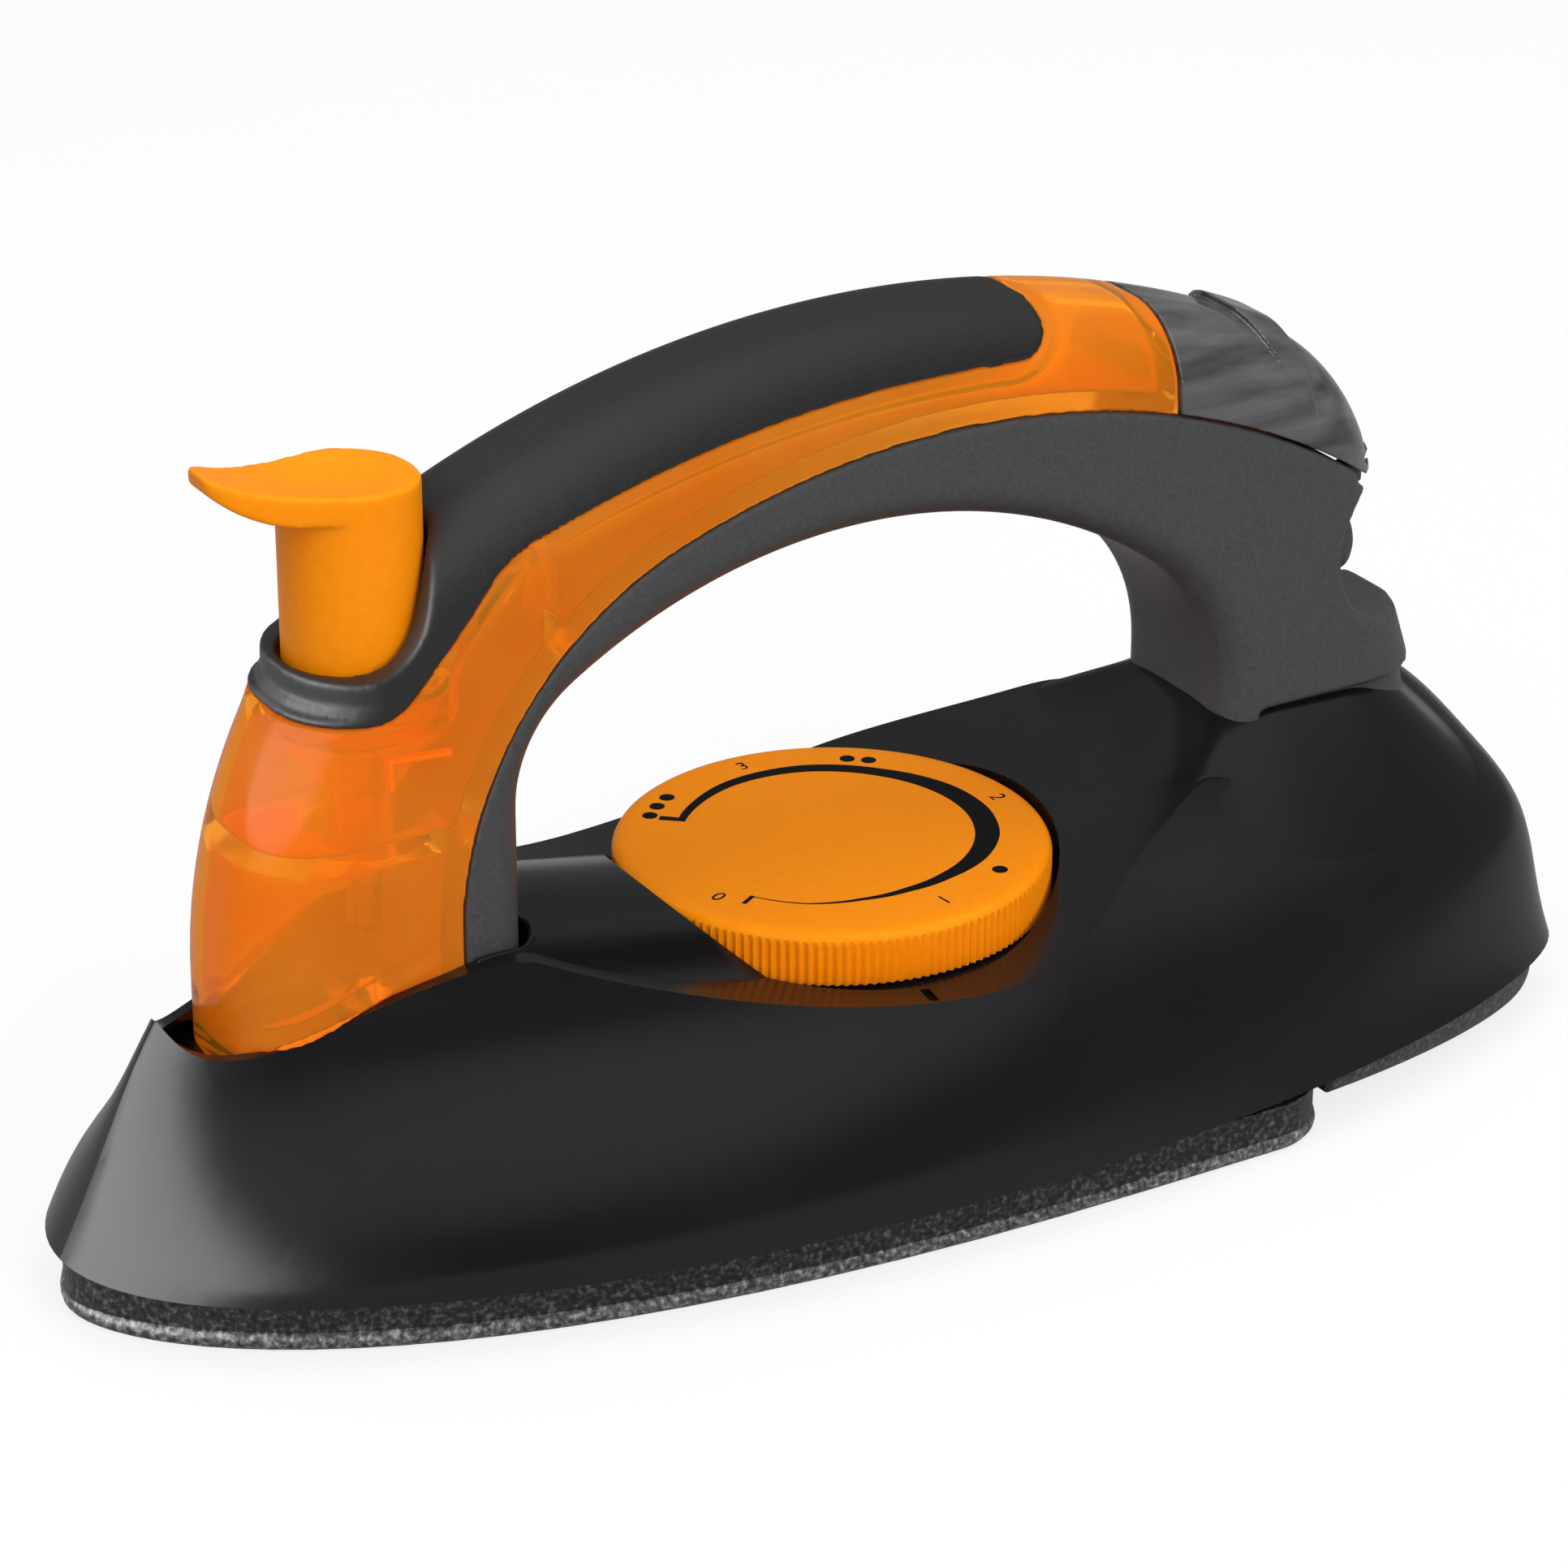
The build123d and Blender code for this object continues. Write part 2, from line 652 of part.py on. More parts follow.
def handle_frame():
    solid = blank(0) & slab(frame_face(), 40)
    solid -= slab(Pos(bite_x, bite_z) * Circle(bite_radius), 40)
    solid -= slab(Pos(cap_pin_x, cap_pin_z) * Circle(pin_relief), 40)
    solid -= body_solid() & block(gap_front_x + 20, far, -far, far, 0, far)
    solid -= foot_trim(cap_gap)
    # Shadow gap where the rear leg meets the hull
    skin = blank(0) - blank(leg_shadow)
    solid -= skin & block(gap_rear_x + 5, far, -far, far, 0, leg_shadow_z)
    core = block(leg_core_x, leg_core_end, -handle_half + leg_wall, handle_half - leg_wall, 30, leg_top_z)
    solid -= fillet(core.edges().filter_by(Axis.Z), 2.5)
    solid -= Pos(bush_x, 0, bush_z) * Sphere(bush_radius + bush_clear)
    solid -= post(bush_x - 1, 0, 45, bush_z, 3.6)
    # Ears that carry the cap's pin
    for side in (1, -1):
        mid = side * (cap_knuckle_half + 0.3 + ear_thick / 2)
        ear = Pos(cap_pin_x, mid, cap_pin_z) * Rot(90, 0, 0) * Cylinder(ear_radius, ear_thick)
        low = cap_pin_z - 4.2
        out = cap_pin_x + 0.6
        lug = block(cap_pin_x - 5, out, mid - ear_thick / 2, mid + ear_thick / 2, low, cap_pin_z - 1.4)
        neck = block(cap_pin_x - ear_radius, out, mid - ear_thick / 2, mid + ear_thick / 2, low, cap_pin_z)
        solid += ear + lug + neck
    solid -= Pos(cap_pin_x, 0, cap_pin_z) * Rot(90, 0, 0) * Cylinder(cap_pin_radius, 40)
    solid -= post(leg_screw_x, 0, 30, hump_z + boss_hole, screw_radius + running_clear)
    solid -= post(foot_screw_x, 0, 20, tray_top + boss_hole, screw_radius + running_clear)
    return solid


def cap_hinge_pin():
    length = 2 * (cap_knuckle_half + 0.3 + ear_thick)
    return Pos(cap_pin_x, 0, cap_pin_z) * Rot(90, 0, 0) * Cylinder(cap_pin_radius, length)


def filler_plane(lift):
    tilt = math.radians(filler_slope)
    x = filler_x + lift * math.sin(tilt)
    z = filler_z + lift * math.cos(tilt)
    return Plane(origin=(x, 0, z), z_dir=(math.sin(tilt), 0, math.cos(tilt)))


def above_filler(drop):
    return extrude(filler_plane(-drop) * Rectangle(120, 80), 80)


def water_tank():
    base = slab(offset(frame_face(), seam_gap), 40)
    floor = slab(offset(frame_face(), seam_gap + tank_wall), 40)
    whole = blank(0)
    grip = slab(grip_face(), 40)
    under_grip = blank(grip_thick) & block(grip_front_x, grip_end_x, -40, 40, 60, far)
    solid = (whole - grip + under_grip) & block(-far, cap_front_x, -40, 40, 0, far)
    mouth = blank(mouth_inset) & block(cap_front_x - 1, mouth_end_x, -40, 40, 0, far)
    solid += mouth - above_filler(0)
    solid -= base
    # Inside
    room = blank(tank_wall) - slab(offset(grip_face(), tank_roof), 40)
    room &= block(-far, cap_front_x - tank_wall, -40, 40, 0, far)
    roof = blank(grip_thick + tank_wall) & block(grip_front_x + tank_wall, cap_front_x, -40, 40, 60, far)
    neck = blank(mouth_inset + tank_wall)
    neck &= block(filler_x - 21, mouth_end_x - tank_wall, -40, 40, 60, far)
    room = room + roof + (neck - above_filler(tank_wall)) - floor
    shelf = block(-far, gap_front_x, -40, 40, shelf_z, shelf_z + shelf_thick)
    room -= shelf - post(button_x, 0, 0, far, shelf_hole)
    baffle = block(baffle_x, baffle_x + baffle_thick, -40, 40, collar_seam_z, far)
    room -= baffle - block(baffle_x - 9, baffle_x + 9, -4, 4, 0, grip_seam_peak_z - 5)
    sleeve = stalk_radius + sleeve_clear + sleeve_wall
    room -= post(button_x, 0, collar_seam_z - tank_roof, far, sleeve + 2.2)
    room -= foot_trim(cap_gap + tank_wall)
    solid -= room
    # Foot stays clear of the bow walls
    solid -= foot_trim(cap_gap)
    # Holes: filler mouth, outlet, button sleeve
    solid -= extrude(filler_plane(1) * Circle(filler_hole), -tank_wall - 4)
    solid -= post(button_x, 0, 20, tray_top + 5, nozzle_radius + running_clear)
    top = collar_seam_z
    solid -= post(button_x, 0, top - tank_roof - 1, top + 1, sleeve + running_clear)
    solid -= post(button_x, 0, top, far, stalk_radius + well_clear)
    solid -= post(button_x, 0, top - 1.3, top + 1, sleeve + 1.4)
    return solid


def grip_cover():
    solid = blank(0) & slab(grip_face(), 40)
    solid -= blank(grip_thick) & block(grip_front_x, far, -40, 40, 60, far)
    solid -= slab(bay_face(), 40)
    solid -= post(button_x, 0, 60, far, stalk_radius + well_clear)
    # Collar: the rim stands back from the skirt in two small steps that die out towards the sides
    for step in (1, 2):
        front = collar_front_x + collar_inset * step
        low = collar_seam_z + collar_skirt * step
        half = handle_half + collar_inset
        rim = block(front, far, -half, half, 60, far)
        rim = fillet(rim.edges().filter_by(Axis.Z).group_by(Axis.X)[0], half - 1.1)
        solid -= block(-far, button_x, -40, 40, low, far) - rim
    return solid


def filler_cap():
    front = cap_front_x + cap_gap
    solid = blank(0) - slab(offset(frame_face(), cap_gap), 40)
    solid &= block(front, far, -40, 40, 0, far)
    solid -= blank(cap_wall) & block(0, far, -40, 40, 0, far)
    solid -= block(cap_pin_x - 4, far, -40, 40, 0, cap_lip_z)
    solid += cap_ridge()
    rod = extrude(filler_plane(gasket_thick + 0.2) * Circle(gasket_radius - 1.4), 30)
    solid += rod & blank(cap_wall / 2)
    knuckle = Pos(cap_pin_x, 0, cap_pin_z) * Rot(90, 0, 0) * Cylinder(ear_radius, 2 * cap_knuckle_half)
    web = block(cap_pin_x, far, -cap_knuckle_half, cap_knuckle_half, cap_pin_z - ear_radius, cap_pin_z + ear_radius)
    solid += knuckle + (web & blank(cap_wall / 2))
    for side in (1, -1):
        mid = side * (cap_knuckle_half + 0.3 + ear_thick / 2)
        solid -= Pos(cap_pin_x, mid, cap_pin_z) * Rot(90, 0, 0) * Cylinder(ear_radius + 0.5, ear_thick + 0.6)
        solid -= block(cap_pin_x - 4, far, mid - ear_thick / 2 - 0.3, mid + ear_thick / 2 + 0.3, 0, cap_pin_z)
    solid -= Pos(cap_pin_x, 0, cap_pin_z) * Rot(90, 0, 0) * Cylinder(cap_pin_radius + pin_clear, 40)
    return solid


# Thumb ridge: the cap's own outer form moved outwards, kept between two slanted planes
def cap_ridge():
    cx, cz = cap_centre()
    mid_x = ridge_front_x + ridge_wide / 2
    rise = math.sqrt(cap_radius**2 - (mid_x - cx) ** 2)
    move = (ridge_high * (mid_x - cx) / cap_radius, 0, ridge_high * rise / cap_radius)
    top = cz + rise
    band = [(ridge_front_x - 2.2, top + 5), (ridge_front_x, top), (ridge_front_x + 4.6, top - 10),
            (ridge_front_x + ridge_wide + 1.4, top - 10), (ridge_front_x + ridge_wide - 0.6, top + 5)]
    skin = Pos(*move) * blank(0) - blank(cap_wall / 2)
    return skin & slab(make_face(Polyline(*band, close=True)), 40)


def filler_gasket():
    return extrude(filler_plane(0.2) * Circle(gasket_radius), gasket_thick)


# Thumb pad: a saddle seen from the side, a drop seen from above, dished over the stalk
def pad():
    tip = pad_tip_x - pad_tip_radius
    back = button_x + stalk_radius + 1
    top = [(tip + 0.2, pad_low_z + 7.4), (button_x - 10, pad_low_z + 4.4), (button_x, pad_low_z + 3.4),
           (back, pad_low_z + 2.8)]
    under = [(back, pad_low_z), (button_x - 6, pad_low_z + 0.4)]
    beak = [under[1], (button_x - 10.5, pad_low_z + 0.9), (tip + 0.6, pad_low_z + 5.2)]
    lines = [
        Spline(*top),
        Polyline(top[3], *under),
        Spline(*beak),
        Line(beak[2], top[0]),
    ]
    round_end = (Pos(button_x, 0) * Circle(stalk_radius)).edges()
    plan = make_hull(round_end + (Pos(pad_tip_x, 0) * Circle(pad_tip_radius)).edges())
    solid = slab(make_face(lines), 20) & (Pos(0, 0, 60) * extrude(plan, 60))
    dish = Pos(button_x, 0, pad_low_z + 2.6 + dish_radius) * Sphere(dish_radius)
    return solid - dish


def steam_button():
    solid = pad() + post(button_x, 0, stalk_bottom, pad_low_z + 1, stalk_radius)
    bore = post(button_x, 0, stalk_bottom - 1, spring_top, stalk_bore)
    bore -= post(button_x, 0, stalk_bottom + 1, far, rod_radius + 1.2)
    return solid - bore - post(button_x, 0, 60, rod_top_z, rod_radius)


def valve_rod():
    solid = post(button_x, 0, rod_tip_z + 2, rod_top_z, rod_radius)
    tip = Pos(button_x, 0, rod_tip_z) * Cone(0.6, rod_radius, 2, align=(Align.CENTER, Align.CENTER, Align.MIN))
    return solid + tip


def turned(points):
    face = make_face(Polyline(*points, close=True))
    return Pos(button_x, 0, 0) * revolve(Plane.XZ * face, Axis.Z)


def button_sleeve():
    inner = stalk_radius + sleeve_clear
    outer = inner + sleeve_wall
    top = collar_seam_z
    bore = rod_radius + running_clear
    seat = seal_radius
    return turned([
        (bore, sleeve_floor - 16.5), (seat, sleeve_floor - 16.5), (seat, sleeve_floor - 9.5), (outer, sleeve_floor - 1.3),
        (outer, top - 1.3), (outer + 1.3, top - 1.3), (outer + 1.3, top), (inner, top), (inner, sleeve_floor),
        (seat, sleeve_floor), (seat, sleeve_floor - seal_deep), (bore, sleeve_floor - seal_deep),
    ])


def rod_seal():
    bore = rod_radius + running_clear
    low = sleeve_floor - seal_deep
    return turned([(bore, low), (seal_radius, low), (seal_radius, sleeve_floor), (bore, sleeve_floor)])


def button_spring():
    low = sleeve_floor + spring_wire
    high = spring_top - spring_wire
    path = Helix(pitch=(high - low) / spring_turns, height=high - low, radius=spring_radius)
    start = Plane(origin=path @ 0, z_dir=path % 0)
    wire = start * Rectangle(2 * spring_wire, 2 * spring_wire)
    return Pos(button_x, 0, low) * sweep(wire, path=path, is_frenet=True)


def drip_nozzle():
    seat = tray_top + tank_wall + seal_thick
    top = seat + 1.5
    return turned([
        (nozzle_bore, platform_top - 2), (nozzle_radius, platform_top - 2), (nozzle_radius, seat),
        (nozzle_flange, seat), (nozzle_flange, top),
        (nozzle_radius - 0.6, top), (nozzle_bore, top - 2.2),
    ])


def tank_seal():
    low = tray_top + tank_wall
    bore = nozzle_radius + running_clear
    return turned([(bore, low), (nozzle_flange, low), (nozzle_flange, low + seal_thick), (bore, low + seal_thick)])


def knurled_disc():
    points = []
    for i in range(2 * knurl_count):
        angle = math.pi * i / knurl_count
        radius = dial_radius - knurl_depth * (i % 2)
        points.append((radius * math.cos(angle), radius * math.sin(angle)))
    return make_face(Polyline(*points, close=True))


def temperature_dial():
    low = deck_low_z + dial_gap
    solid = Pos(0, 0, low) * extrude(knurled_disc(), dial_top - low)
    dome_radius = 900.0
    solid += post(0, 0, dial_top - 1, dial_top + 0.5, dial_radius - 1.6)
    solid &= Pos(0, 0, dial_top + 0.5 - dome_radius) * Sphere(dome_radius)
    solid -= post(0, 0, 0, dial_top - dial_plate, dial_radius - dial_rim)
    solid += post(0, 0, deck_low_z - 3, dial_top - 1, hub_radius)
    return Pos(dial_x, 0, 0) * solid - dial_spindle()


def cord_bush():
    solid = Sphere(bush_radius)
    solid -= Rot(0, 90, 0) * Cylinder(cord_radius, 40)
    return Pos(bush_x, 0, bush_z) * solid


def terminal_block():
    low = shield_z + shield_thick
    solid = block(terminal_x - 7, terminal_x + 7, -11, 11, low, low + 8)
    for y in (-7, 0, 7):
        solid -= post(terminal_x, y, low + 3, low + 9, 2.2)
        solid -= Pos(terminal_x, y, low + 3.6) * Rot(0, 90, 0) * Cylinder(1.5, 30)
    return solid


def inner_leads():
    group = []
    low = shield_z + shield_thick + 3.6
    for side in (1, -1):
        points = [
            (terminal_x - 3, side * 7, low), (lead_x, side * 7, low), (lead_x, side * heater_half, low - 4),
            (lead_x, side * heater_half, heater_z), (heater_rear_x + 7.5, side * heater_half, heater_z),
        ]
        path = Polyline(*points)
        start = Plane(origin=path @ 0, z_dir=path % 0)
        group.append(sweep(start * Circle(1.0), path=path, transition=Transition.RIGHT))
    return Compound(children=group)


pieces = {
    "soleplate": soleplate,
    "heating_element": heating_element,
    "steam_chamber_cover": steam_chamber_cover,
    "heat_shield": heat_shield,
    "thermostat": thermostat,
    "dial_spindle": dial_spindle,
    "thermal_fuse": thermal_fuse,
    "body_shell": body_shell,
    "rear_base_cover": rear_base_cover,
    "shield_screws": shield_screws,
    "shell_screws": shell_screws,
    "cover_screws": cover_screws,
    "handle_screws": handle_screws,
    "handle_frame": handle_frame,
    "water_tank": water_tank,
    "grip_cover": grip_cover,
    "filler_cap": filler_cap,
    "filler_gasket": filler_gasket,
    "cap_hinge_pin": cap_hinge_pin,
    "steam_button": steam_button,
    "valve_rod": valve_rod,
    "button_sleeve": button_sleeve,
    "rod_seal": rod_seal,
    "button_spring": button_spring,
    "drip_nozzle": drip_nozzle,
    "tank_seal": tank_seal,
    "temperature_dial": temperature_dial,
    "cord_bush": cord_bush,
    "terminal_block": terminal_block,
    "inner_leads": inner_leads,
}

os.makedirs("parts", exist_ok=True)
for name, make in pieces.items():
    shape = make()
    export_step(shape, "parts/" + name + ".step")
    print(name, shape.is_valid, len(shape.solids()), round(shape.volume))
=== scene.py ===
import json
import math

import bpy
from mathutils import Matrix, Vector

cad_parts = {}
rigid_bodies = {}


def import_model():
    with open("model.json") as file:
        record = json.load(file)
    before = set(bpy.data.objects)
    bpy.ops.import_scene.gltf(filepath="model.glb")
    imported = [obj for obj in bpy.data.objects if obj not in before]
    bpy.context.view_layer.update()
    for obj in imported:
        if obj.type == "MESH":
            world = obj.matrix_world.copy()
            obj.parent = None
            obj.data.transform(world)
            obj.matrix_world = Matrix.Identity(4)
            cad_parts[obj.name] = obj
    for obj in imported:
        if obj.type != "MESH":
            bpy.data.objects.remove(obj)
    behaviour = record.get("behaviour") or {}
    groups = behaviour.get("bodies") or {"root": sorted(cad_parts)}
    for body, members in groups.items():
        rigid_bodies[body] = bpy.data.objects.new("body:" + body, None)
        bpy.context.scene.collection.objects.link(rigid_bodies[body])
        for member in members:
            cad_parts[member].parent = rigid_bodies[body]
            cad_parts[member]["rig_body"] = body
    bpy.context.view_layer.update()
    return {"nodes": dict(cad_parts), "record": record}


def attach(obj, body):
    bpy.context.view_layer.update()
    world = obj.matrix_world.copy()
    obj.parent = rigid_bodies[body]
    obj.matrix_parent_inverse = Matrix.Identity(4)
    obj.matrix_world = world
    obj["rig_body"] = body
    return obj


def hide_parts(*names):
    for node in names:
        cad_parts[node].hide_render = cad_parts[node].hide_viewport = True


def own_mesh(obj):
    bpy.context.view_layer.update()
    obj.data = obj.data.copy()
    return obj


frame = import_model()
nodes = frame["nodes"]
mm = 0.001
print("frame loaded:", len(nodes), "nodes")


# Helpers shared by the finishes
def newFinish(name, colour, rough, metal=0.0, specular=0.5):
    mat = bpy.data.materials.new(name)
    mat.use_nodes = True
    shader = mat.node_tree.nodes["Principled BSDF"]
    shader.inputs["Base Color"].default_value = (*colour, 1)
    shader.inputs["Roughness"].default_value = rough
    shader.inputs["Metallic"].default_value = metal
    shader.inputs["Specular IOR Level"].default_value = specular
    return mat


def objectNoise(mat, scale, detail=3.0, stretch=(1, 1, 1)):
    tree = mat.node_tree
    coords = tree.nodes.new("ShaderNodeTexCoord")
    mapping = tree.nodes.new("ShaderNodeMapping")
    mapping.inputs["Scale"].default_value = stretch
    noise = tree.nodes.new("ShaderNodeTexNoise")
    noise.inputs["Scale"].default_value = scale
    noise.inputs["Detail"].default_value = detail
    tree.links.new(coords.outputs["Object"], mapping.inputs["Vector"])
    tree.links.new(mapping.outputs["Vector"], noise.inputs["Vector"])
    return noise


def varyRough(mat, noise, low, high):
    tree = mat.node_tree
    span = tree.nodes.new("ShaderNodeMapRange")
    span.inputs["From Min"].default_value = 0.3
    span.inputs["From Max"].default_value = 0.7
    span.inputs["To Min"].default_value = low
    span.inputs["To Max"].default_value = high
    tree.links.new(noise.outputs["Fac"], span.inputs["Value"])
    tree.links.new(span.outputs["Result"], tree.nodes["Principled BSDF"].inputs["Roughness"])


def varyColour(mat, noise, stops):
    tree = mat.node_tree
    ramp = tree.nodes.new("ShaderNodeValToRGB")
    while len(ramp.color_ramp.elements) < len(stops):
        ramp.color_ramp.elements.new(0.5)
    for element, (place, colour) in zip(ramp.color_ramp.elements, stops):
        element.position = place
        element.color = (*colour, 1)
    tree.links.new(noise.outputs["Fac"], ramp.inputs["Fac"])
    tree.links.new(ramp.outputs["Color"], tree.nodes["Principled BSDF"].inputs["Base Color"])


def addBump(mat, noise, strength, depth):
    tree = mat.node_tree
    bump = tree.nodes.new("ShaderNodeBump")
    bump.inputs["Strength"].default_value = strength
    bump.inputs["Distance"].default_value = depth
    tree.links.new(noise.outputs["Fac"], bump.inputs["Height"])
    tree.links.new(bump.outputs["Normal"], tree.nodes["Principled BSDF"].inputs["Normal"])


def grey(level):
    return (level, level, level * 1.04)


# Finishes
def hullGloss():
    mat = newFinish("hullGloss", grey(0.005), 0.22, specular=0.44)
    cloud = objectNoise(mat, 45)
    varyRough(mat, cloud, 0.19, 0.25)
    varyColour(mat, cloud, [(0.3, grey(0.0045)), (0.7, grey(0.006))])
    return mat


def capGloss():
    mat = newFinish("capGloss", grey(0.03), 0.18)
    # Stretched noise: it varies the roughness, and its grey streaks in the colour are painted reflections
    # on the glossy black cap
    roughStreakAndPaintedReflection = objectNoise(mat, 110, stretch=(0.12, 3.0, 3.0))
    varyRough(mat, roughStreakAndPaintedReflection, 0.10, 0.2)
    # painted reflection: grey streaks on the black cap stand in for streaky reflections
    varyColour(mat, roughStreakAndPaintedReflection, [(0.3, grey(0.035)), (0.7, grey(0.12))])
    return mat


def gripSoft():
    mat = newFinish("gripSoft", grey(0.008), 0.5, specular=0.7)
    grain = objectNoise(mat, 2600, 2.0)
    varyRough(mat, grain, 0.44, 0.54)
    varyColour(mat, grain, [(0.3, grey(0.007)), (0.7, grey(0.010))])
    addBump(mat, grain, 0.12, 0.00008)
    return mat


def frameSatin():
    mat = newFinish("frameSatin", grey(0.06), 0.45, specular=0.22)
    grain = objectNoise(mat, 1900, 2.0)
    varyRough(mat, grain, 0.38, 0.5)
    varyColour(mat, grain, [(0.3, grey(0.052)), (0.7, grey(0.068))])
    addBump(mat, grain, 0.15, 0.00008)
    return mat


def tankClear():
    mat = newFinish("tankClear", (1.0, 0.43, 0.03), 0.12, specular=0.2)
    shader = mat.node_tree.nodes["Principled BSDF"]
    shader.inputs["Transmission Weight"].default_value = 0.78
    # painted glow: a faint orange emission makes the tank shine on its own
    shader.inputs["Emission Color"].default_value = (1.0, 0.33, 0.02, 1)
    shader.inputs["Emission Strength"].default_value = 0.05
    shader.inputs["IOR"].default_value = 1.2
    cloud = objectNoise(mat, 55)
    varyColour(mat, cloud, [(0.3, (0.99, 0.37, 0.015)), (0.7, (1.0, 0.47, 0.04))])
    varyRough(mat, cloud, 0.09, 0.16)
    return mat


def orangeMoulded():
    mat = newFinish("orangeMoulded", (0.98, 0.28, 0.002), 0.42, specular=0.1)
    grain = objectNoise(mat, 900)
    varyColour(mat, grain, [(0.3, (0.96, 0.265, 0.002)), (0.7, (0.98, 0.295, 0.004))])
    varyRough(mat, grain, 0.33, 0.44)
    addBump(mat, grain, 0.08, 0.0001)
    return mat


def soleCast(name, dark, middle, light):
    mat = newFinish(name, middle, 0.42, metal=0.4)
    speckle = objectNoise(mat, 1500, 6.0)
    varyColour(mat, speckle, [(0.36, dark), (0.53, middle), (0.72, light)])
    varyRough(mat, speckle, 0.32, 0.55)
    addBump(mat, speckle, 0.35, 0.0002)
    return mat


def coverSpeckle():
    mat = newFinish("coverSpeckle", grey(0.06), 0.5)
    speckle = objectNoise(mat, 1500, 4.0)
    varyColour(mat, speckle, [(0.35, grey(0.018)), (0.55, grey(0.055)), (0.7, grey(0.16))])
    varyRough(mat, speckle, 0.4, 0.6)
    addBump(mat, speckle, 0.35, 0.0002)
    return mat


def wornMetal(name, dark, light, rough):
    mat = newFinish(name, light, rough, metal=1.0)
    grain = objectNoise(mat, 400, 4.0)
    varyColour(mat, grain, [(0.3, dark), (0.7, light)])
    varyRough(mat, grain, rough - 0.06, rough + 0.08)
    addBump(mat, grain, 0.1, 0.00008)
    return mat


def mouldedPlain(name, dark, light, rough):
    mat = newFinish(name, light, rough)
    grain = objectNoise(mat, 700, 3.0)
    varyColour(mat, grain, [(0.3, dark), (0.7, light)])
    varyRough(mat, grain, rough - 0.05, rough + 0.06)
    addBump(mat, grain, 0.15, 0.0001)
    return mat


finishOf = {
    "black_gloss": hullGloss(),
    "black_soft": gripSoft(),
    "grey_satin": frameSatin(),
    "grey_plastic": coverSpeckle(),
    "orange_clear": tankClear(),
    "orange_plastic": orangeMoulded(),
    "coated_plate": soleCast("soleWall", grey(0.012), grey(0.035), (0.15, 0.14, 0.13)),
    "steel": wornMetal("springSteel", (0.42, 0.42, 0.43), (0.6, 0.6, 0.61), 0.32),
    "sheet_aluminium": wornMetal("sheetAluminium", (0.55, 0.55, 0.56), (0.74, 0.74, 0.75), 0.38),
    "brass": wornMetal("turnedBrass", (0.55, 0.38, 0.14), (0.76, 0.58, 0.27), 0.28),
    "ceramic_white": mouldedPlain("pressedCeramic", (0.74, 0.72, 0.68), (0.86, 0.85, 0.81), 0.6),
    "seal_rubber": mouldedPlain("sealRubber", (0.02, 0.02, 0.02), (0.04, 0.04, 0.04), 0.62),
    "lead_rubber": mouldedPlain("leadSleeve", (0.5, 0.5, 0.48), (0.64, 0.64, 0.62), 0.6),
}
for part in frame["record"]["subparts"]:
    mesh = nodes[part["node"]].data
    mesh.materials.clear()
    mesh.materials.append(finishOf[part["material_slot"]])
nodes["filler_cap"].data.materials[0] = capGloss()
print("finishes set")


# Moulded pieces: the node's own form with softened edges
softEdge = {
    "steam_button": {"voxel": 0.32, "passes": 14},
    "grip_cover": {"voxel": 0.36, "passes": 10},
    "filler_cap": {"voxel": 0.24, "passes": 5, "bore": (74.6, 72.8, 0.95)},
    "handle_frame": {
        "voxel": 0.4, "passes": 14, "keep": 0.5,
        "fill": [(72.6, -9.5, 50.4), (74.0, 9.5, 52.6)],  # closes a slot under the bush
    },
    "water_tank": {"voxel": 0.4, "passes": 12, "keep": 0.42},
}
bodyOf = {node: nodes[node]["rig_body"] for node in nodes}


def pick(piece):
    bpy.ops.object.select_all(action="DESELECT")
    piece.select_set(True)
    bpy.context.view_layer.objects.active = piece


def applyModifier(piece, kind, **values):
    pick(piece)
    modifier = piece.modifiers.new(kind.lower(), kind)
    for key, value in values.items():
        setattr(modifier, key, value)
    bpy.ops.object.modifier_apply(modifier=modifier.name)


def setFinish(piece, finish):
    piece.data.materials.clear()
    piece.data.materials.append(finish)


# Merges doubles and turns the faces outwards
def closeSeams(piece, gap=0.000002):
    pick(piece)
    bpy.ops.object.mode_set(mode="EDIT")
    bpy.ops.mesh.select_all(action="SELECT")
    bpy.ops.mesh.remove_doubles(threshold=gap)
    bpy.ops.mesh.normals_make_consistent(inside=False)
    bpy.ops.object.mode_set(mode="OBJECT")


def mergedCopy(node, name):
    piece = bpy.data.objects.new(name, nodes[node].data.copy())
    bpy.context.scene.collection.objects.link(piece)
    pick(piece)
    bpy.ops.object.mode_set(mode="EDIT")
    bpy.ops.mesh.select_all(action="SELECT")
    bpy.ops.mesh.remove_doubles(threshold=0.000002)
    bpy.ops.object.mode_set(mode="OBJECT")
    return piece


def smoothByAngle(piece, degrees):
    pick(piece)
    bpy.ops.object.shade_smooth_by_angle(angle=math.radians(degrees))


def addFill(piece, low, high):
    pick(piece)
    bpy.ops.object.mode_set(mode="EDIT")
    bpy.ops.mesh.select_all(action="DESELECT")
    low, high = Vector(low) * mm, Vector(high) * mm
    bpy.ops.mesh.primitive_cube_add(size=1, location=(low + high) / 2, scale=high - low)
    bpy.ops.object.mode_set(mode="OBJECT")


# Keeps the bore of a remeshed piece clear of its pin, which lies along Y
def openBore(piece, x, z, radius):
    axis = Vector((x, 0, z)) * mm
    for vert in piece.data.vertices:
        out = Vector((vert.co.x - axis.x, 0, vert.co.z - axis.z))
        if 0 < out.length < radius * mm:
            vert.co += out.normalized() * (radius * mm - out.length)


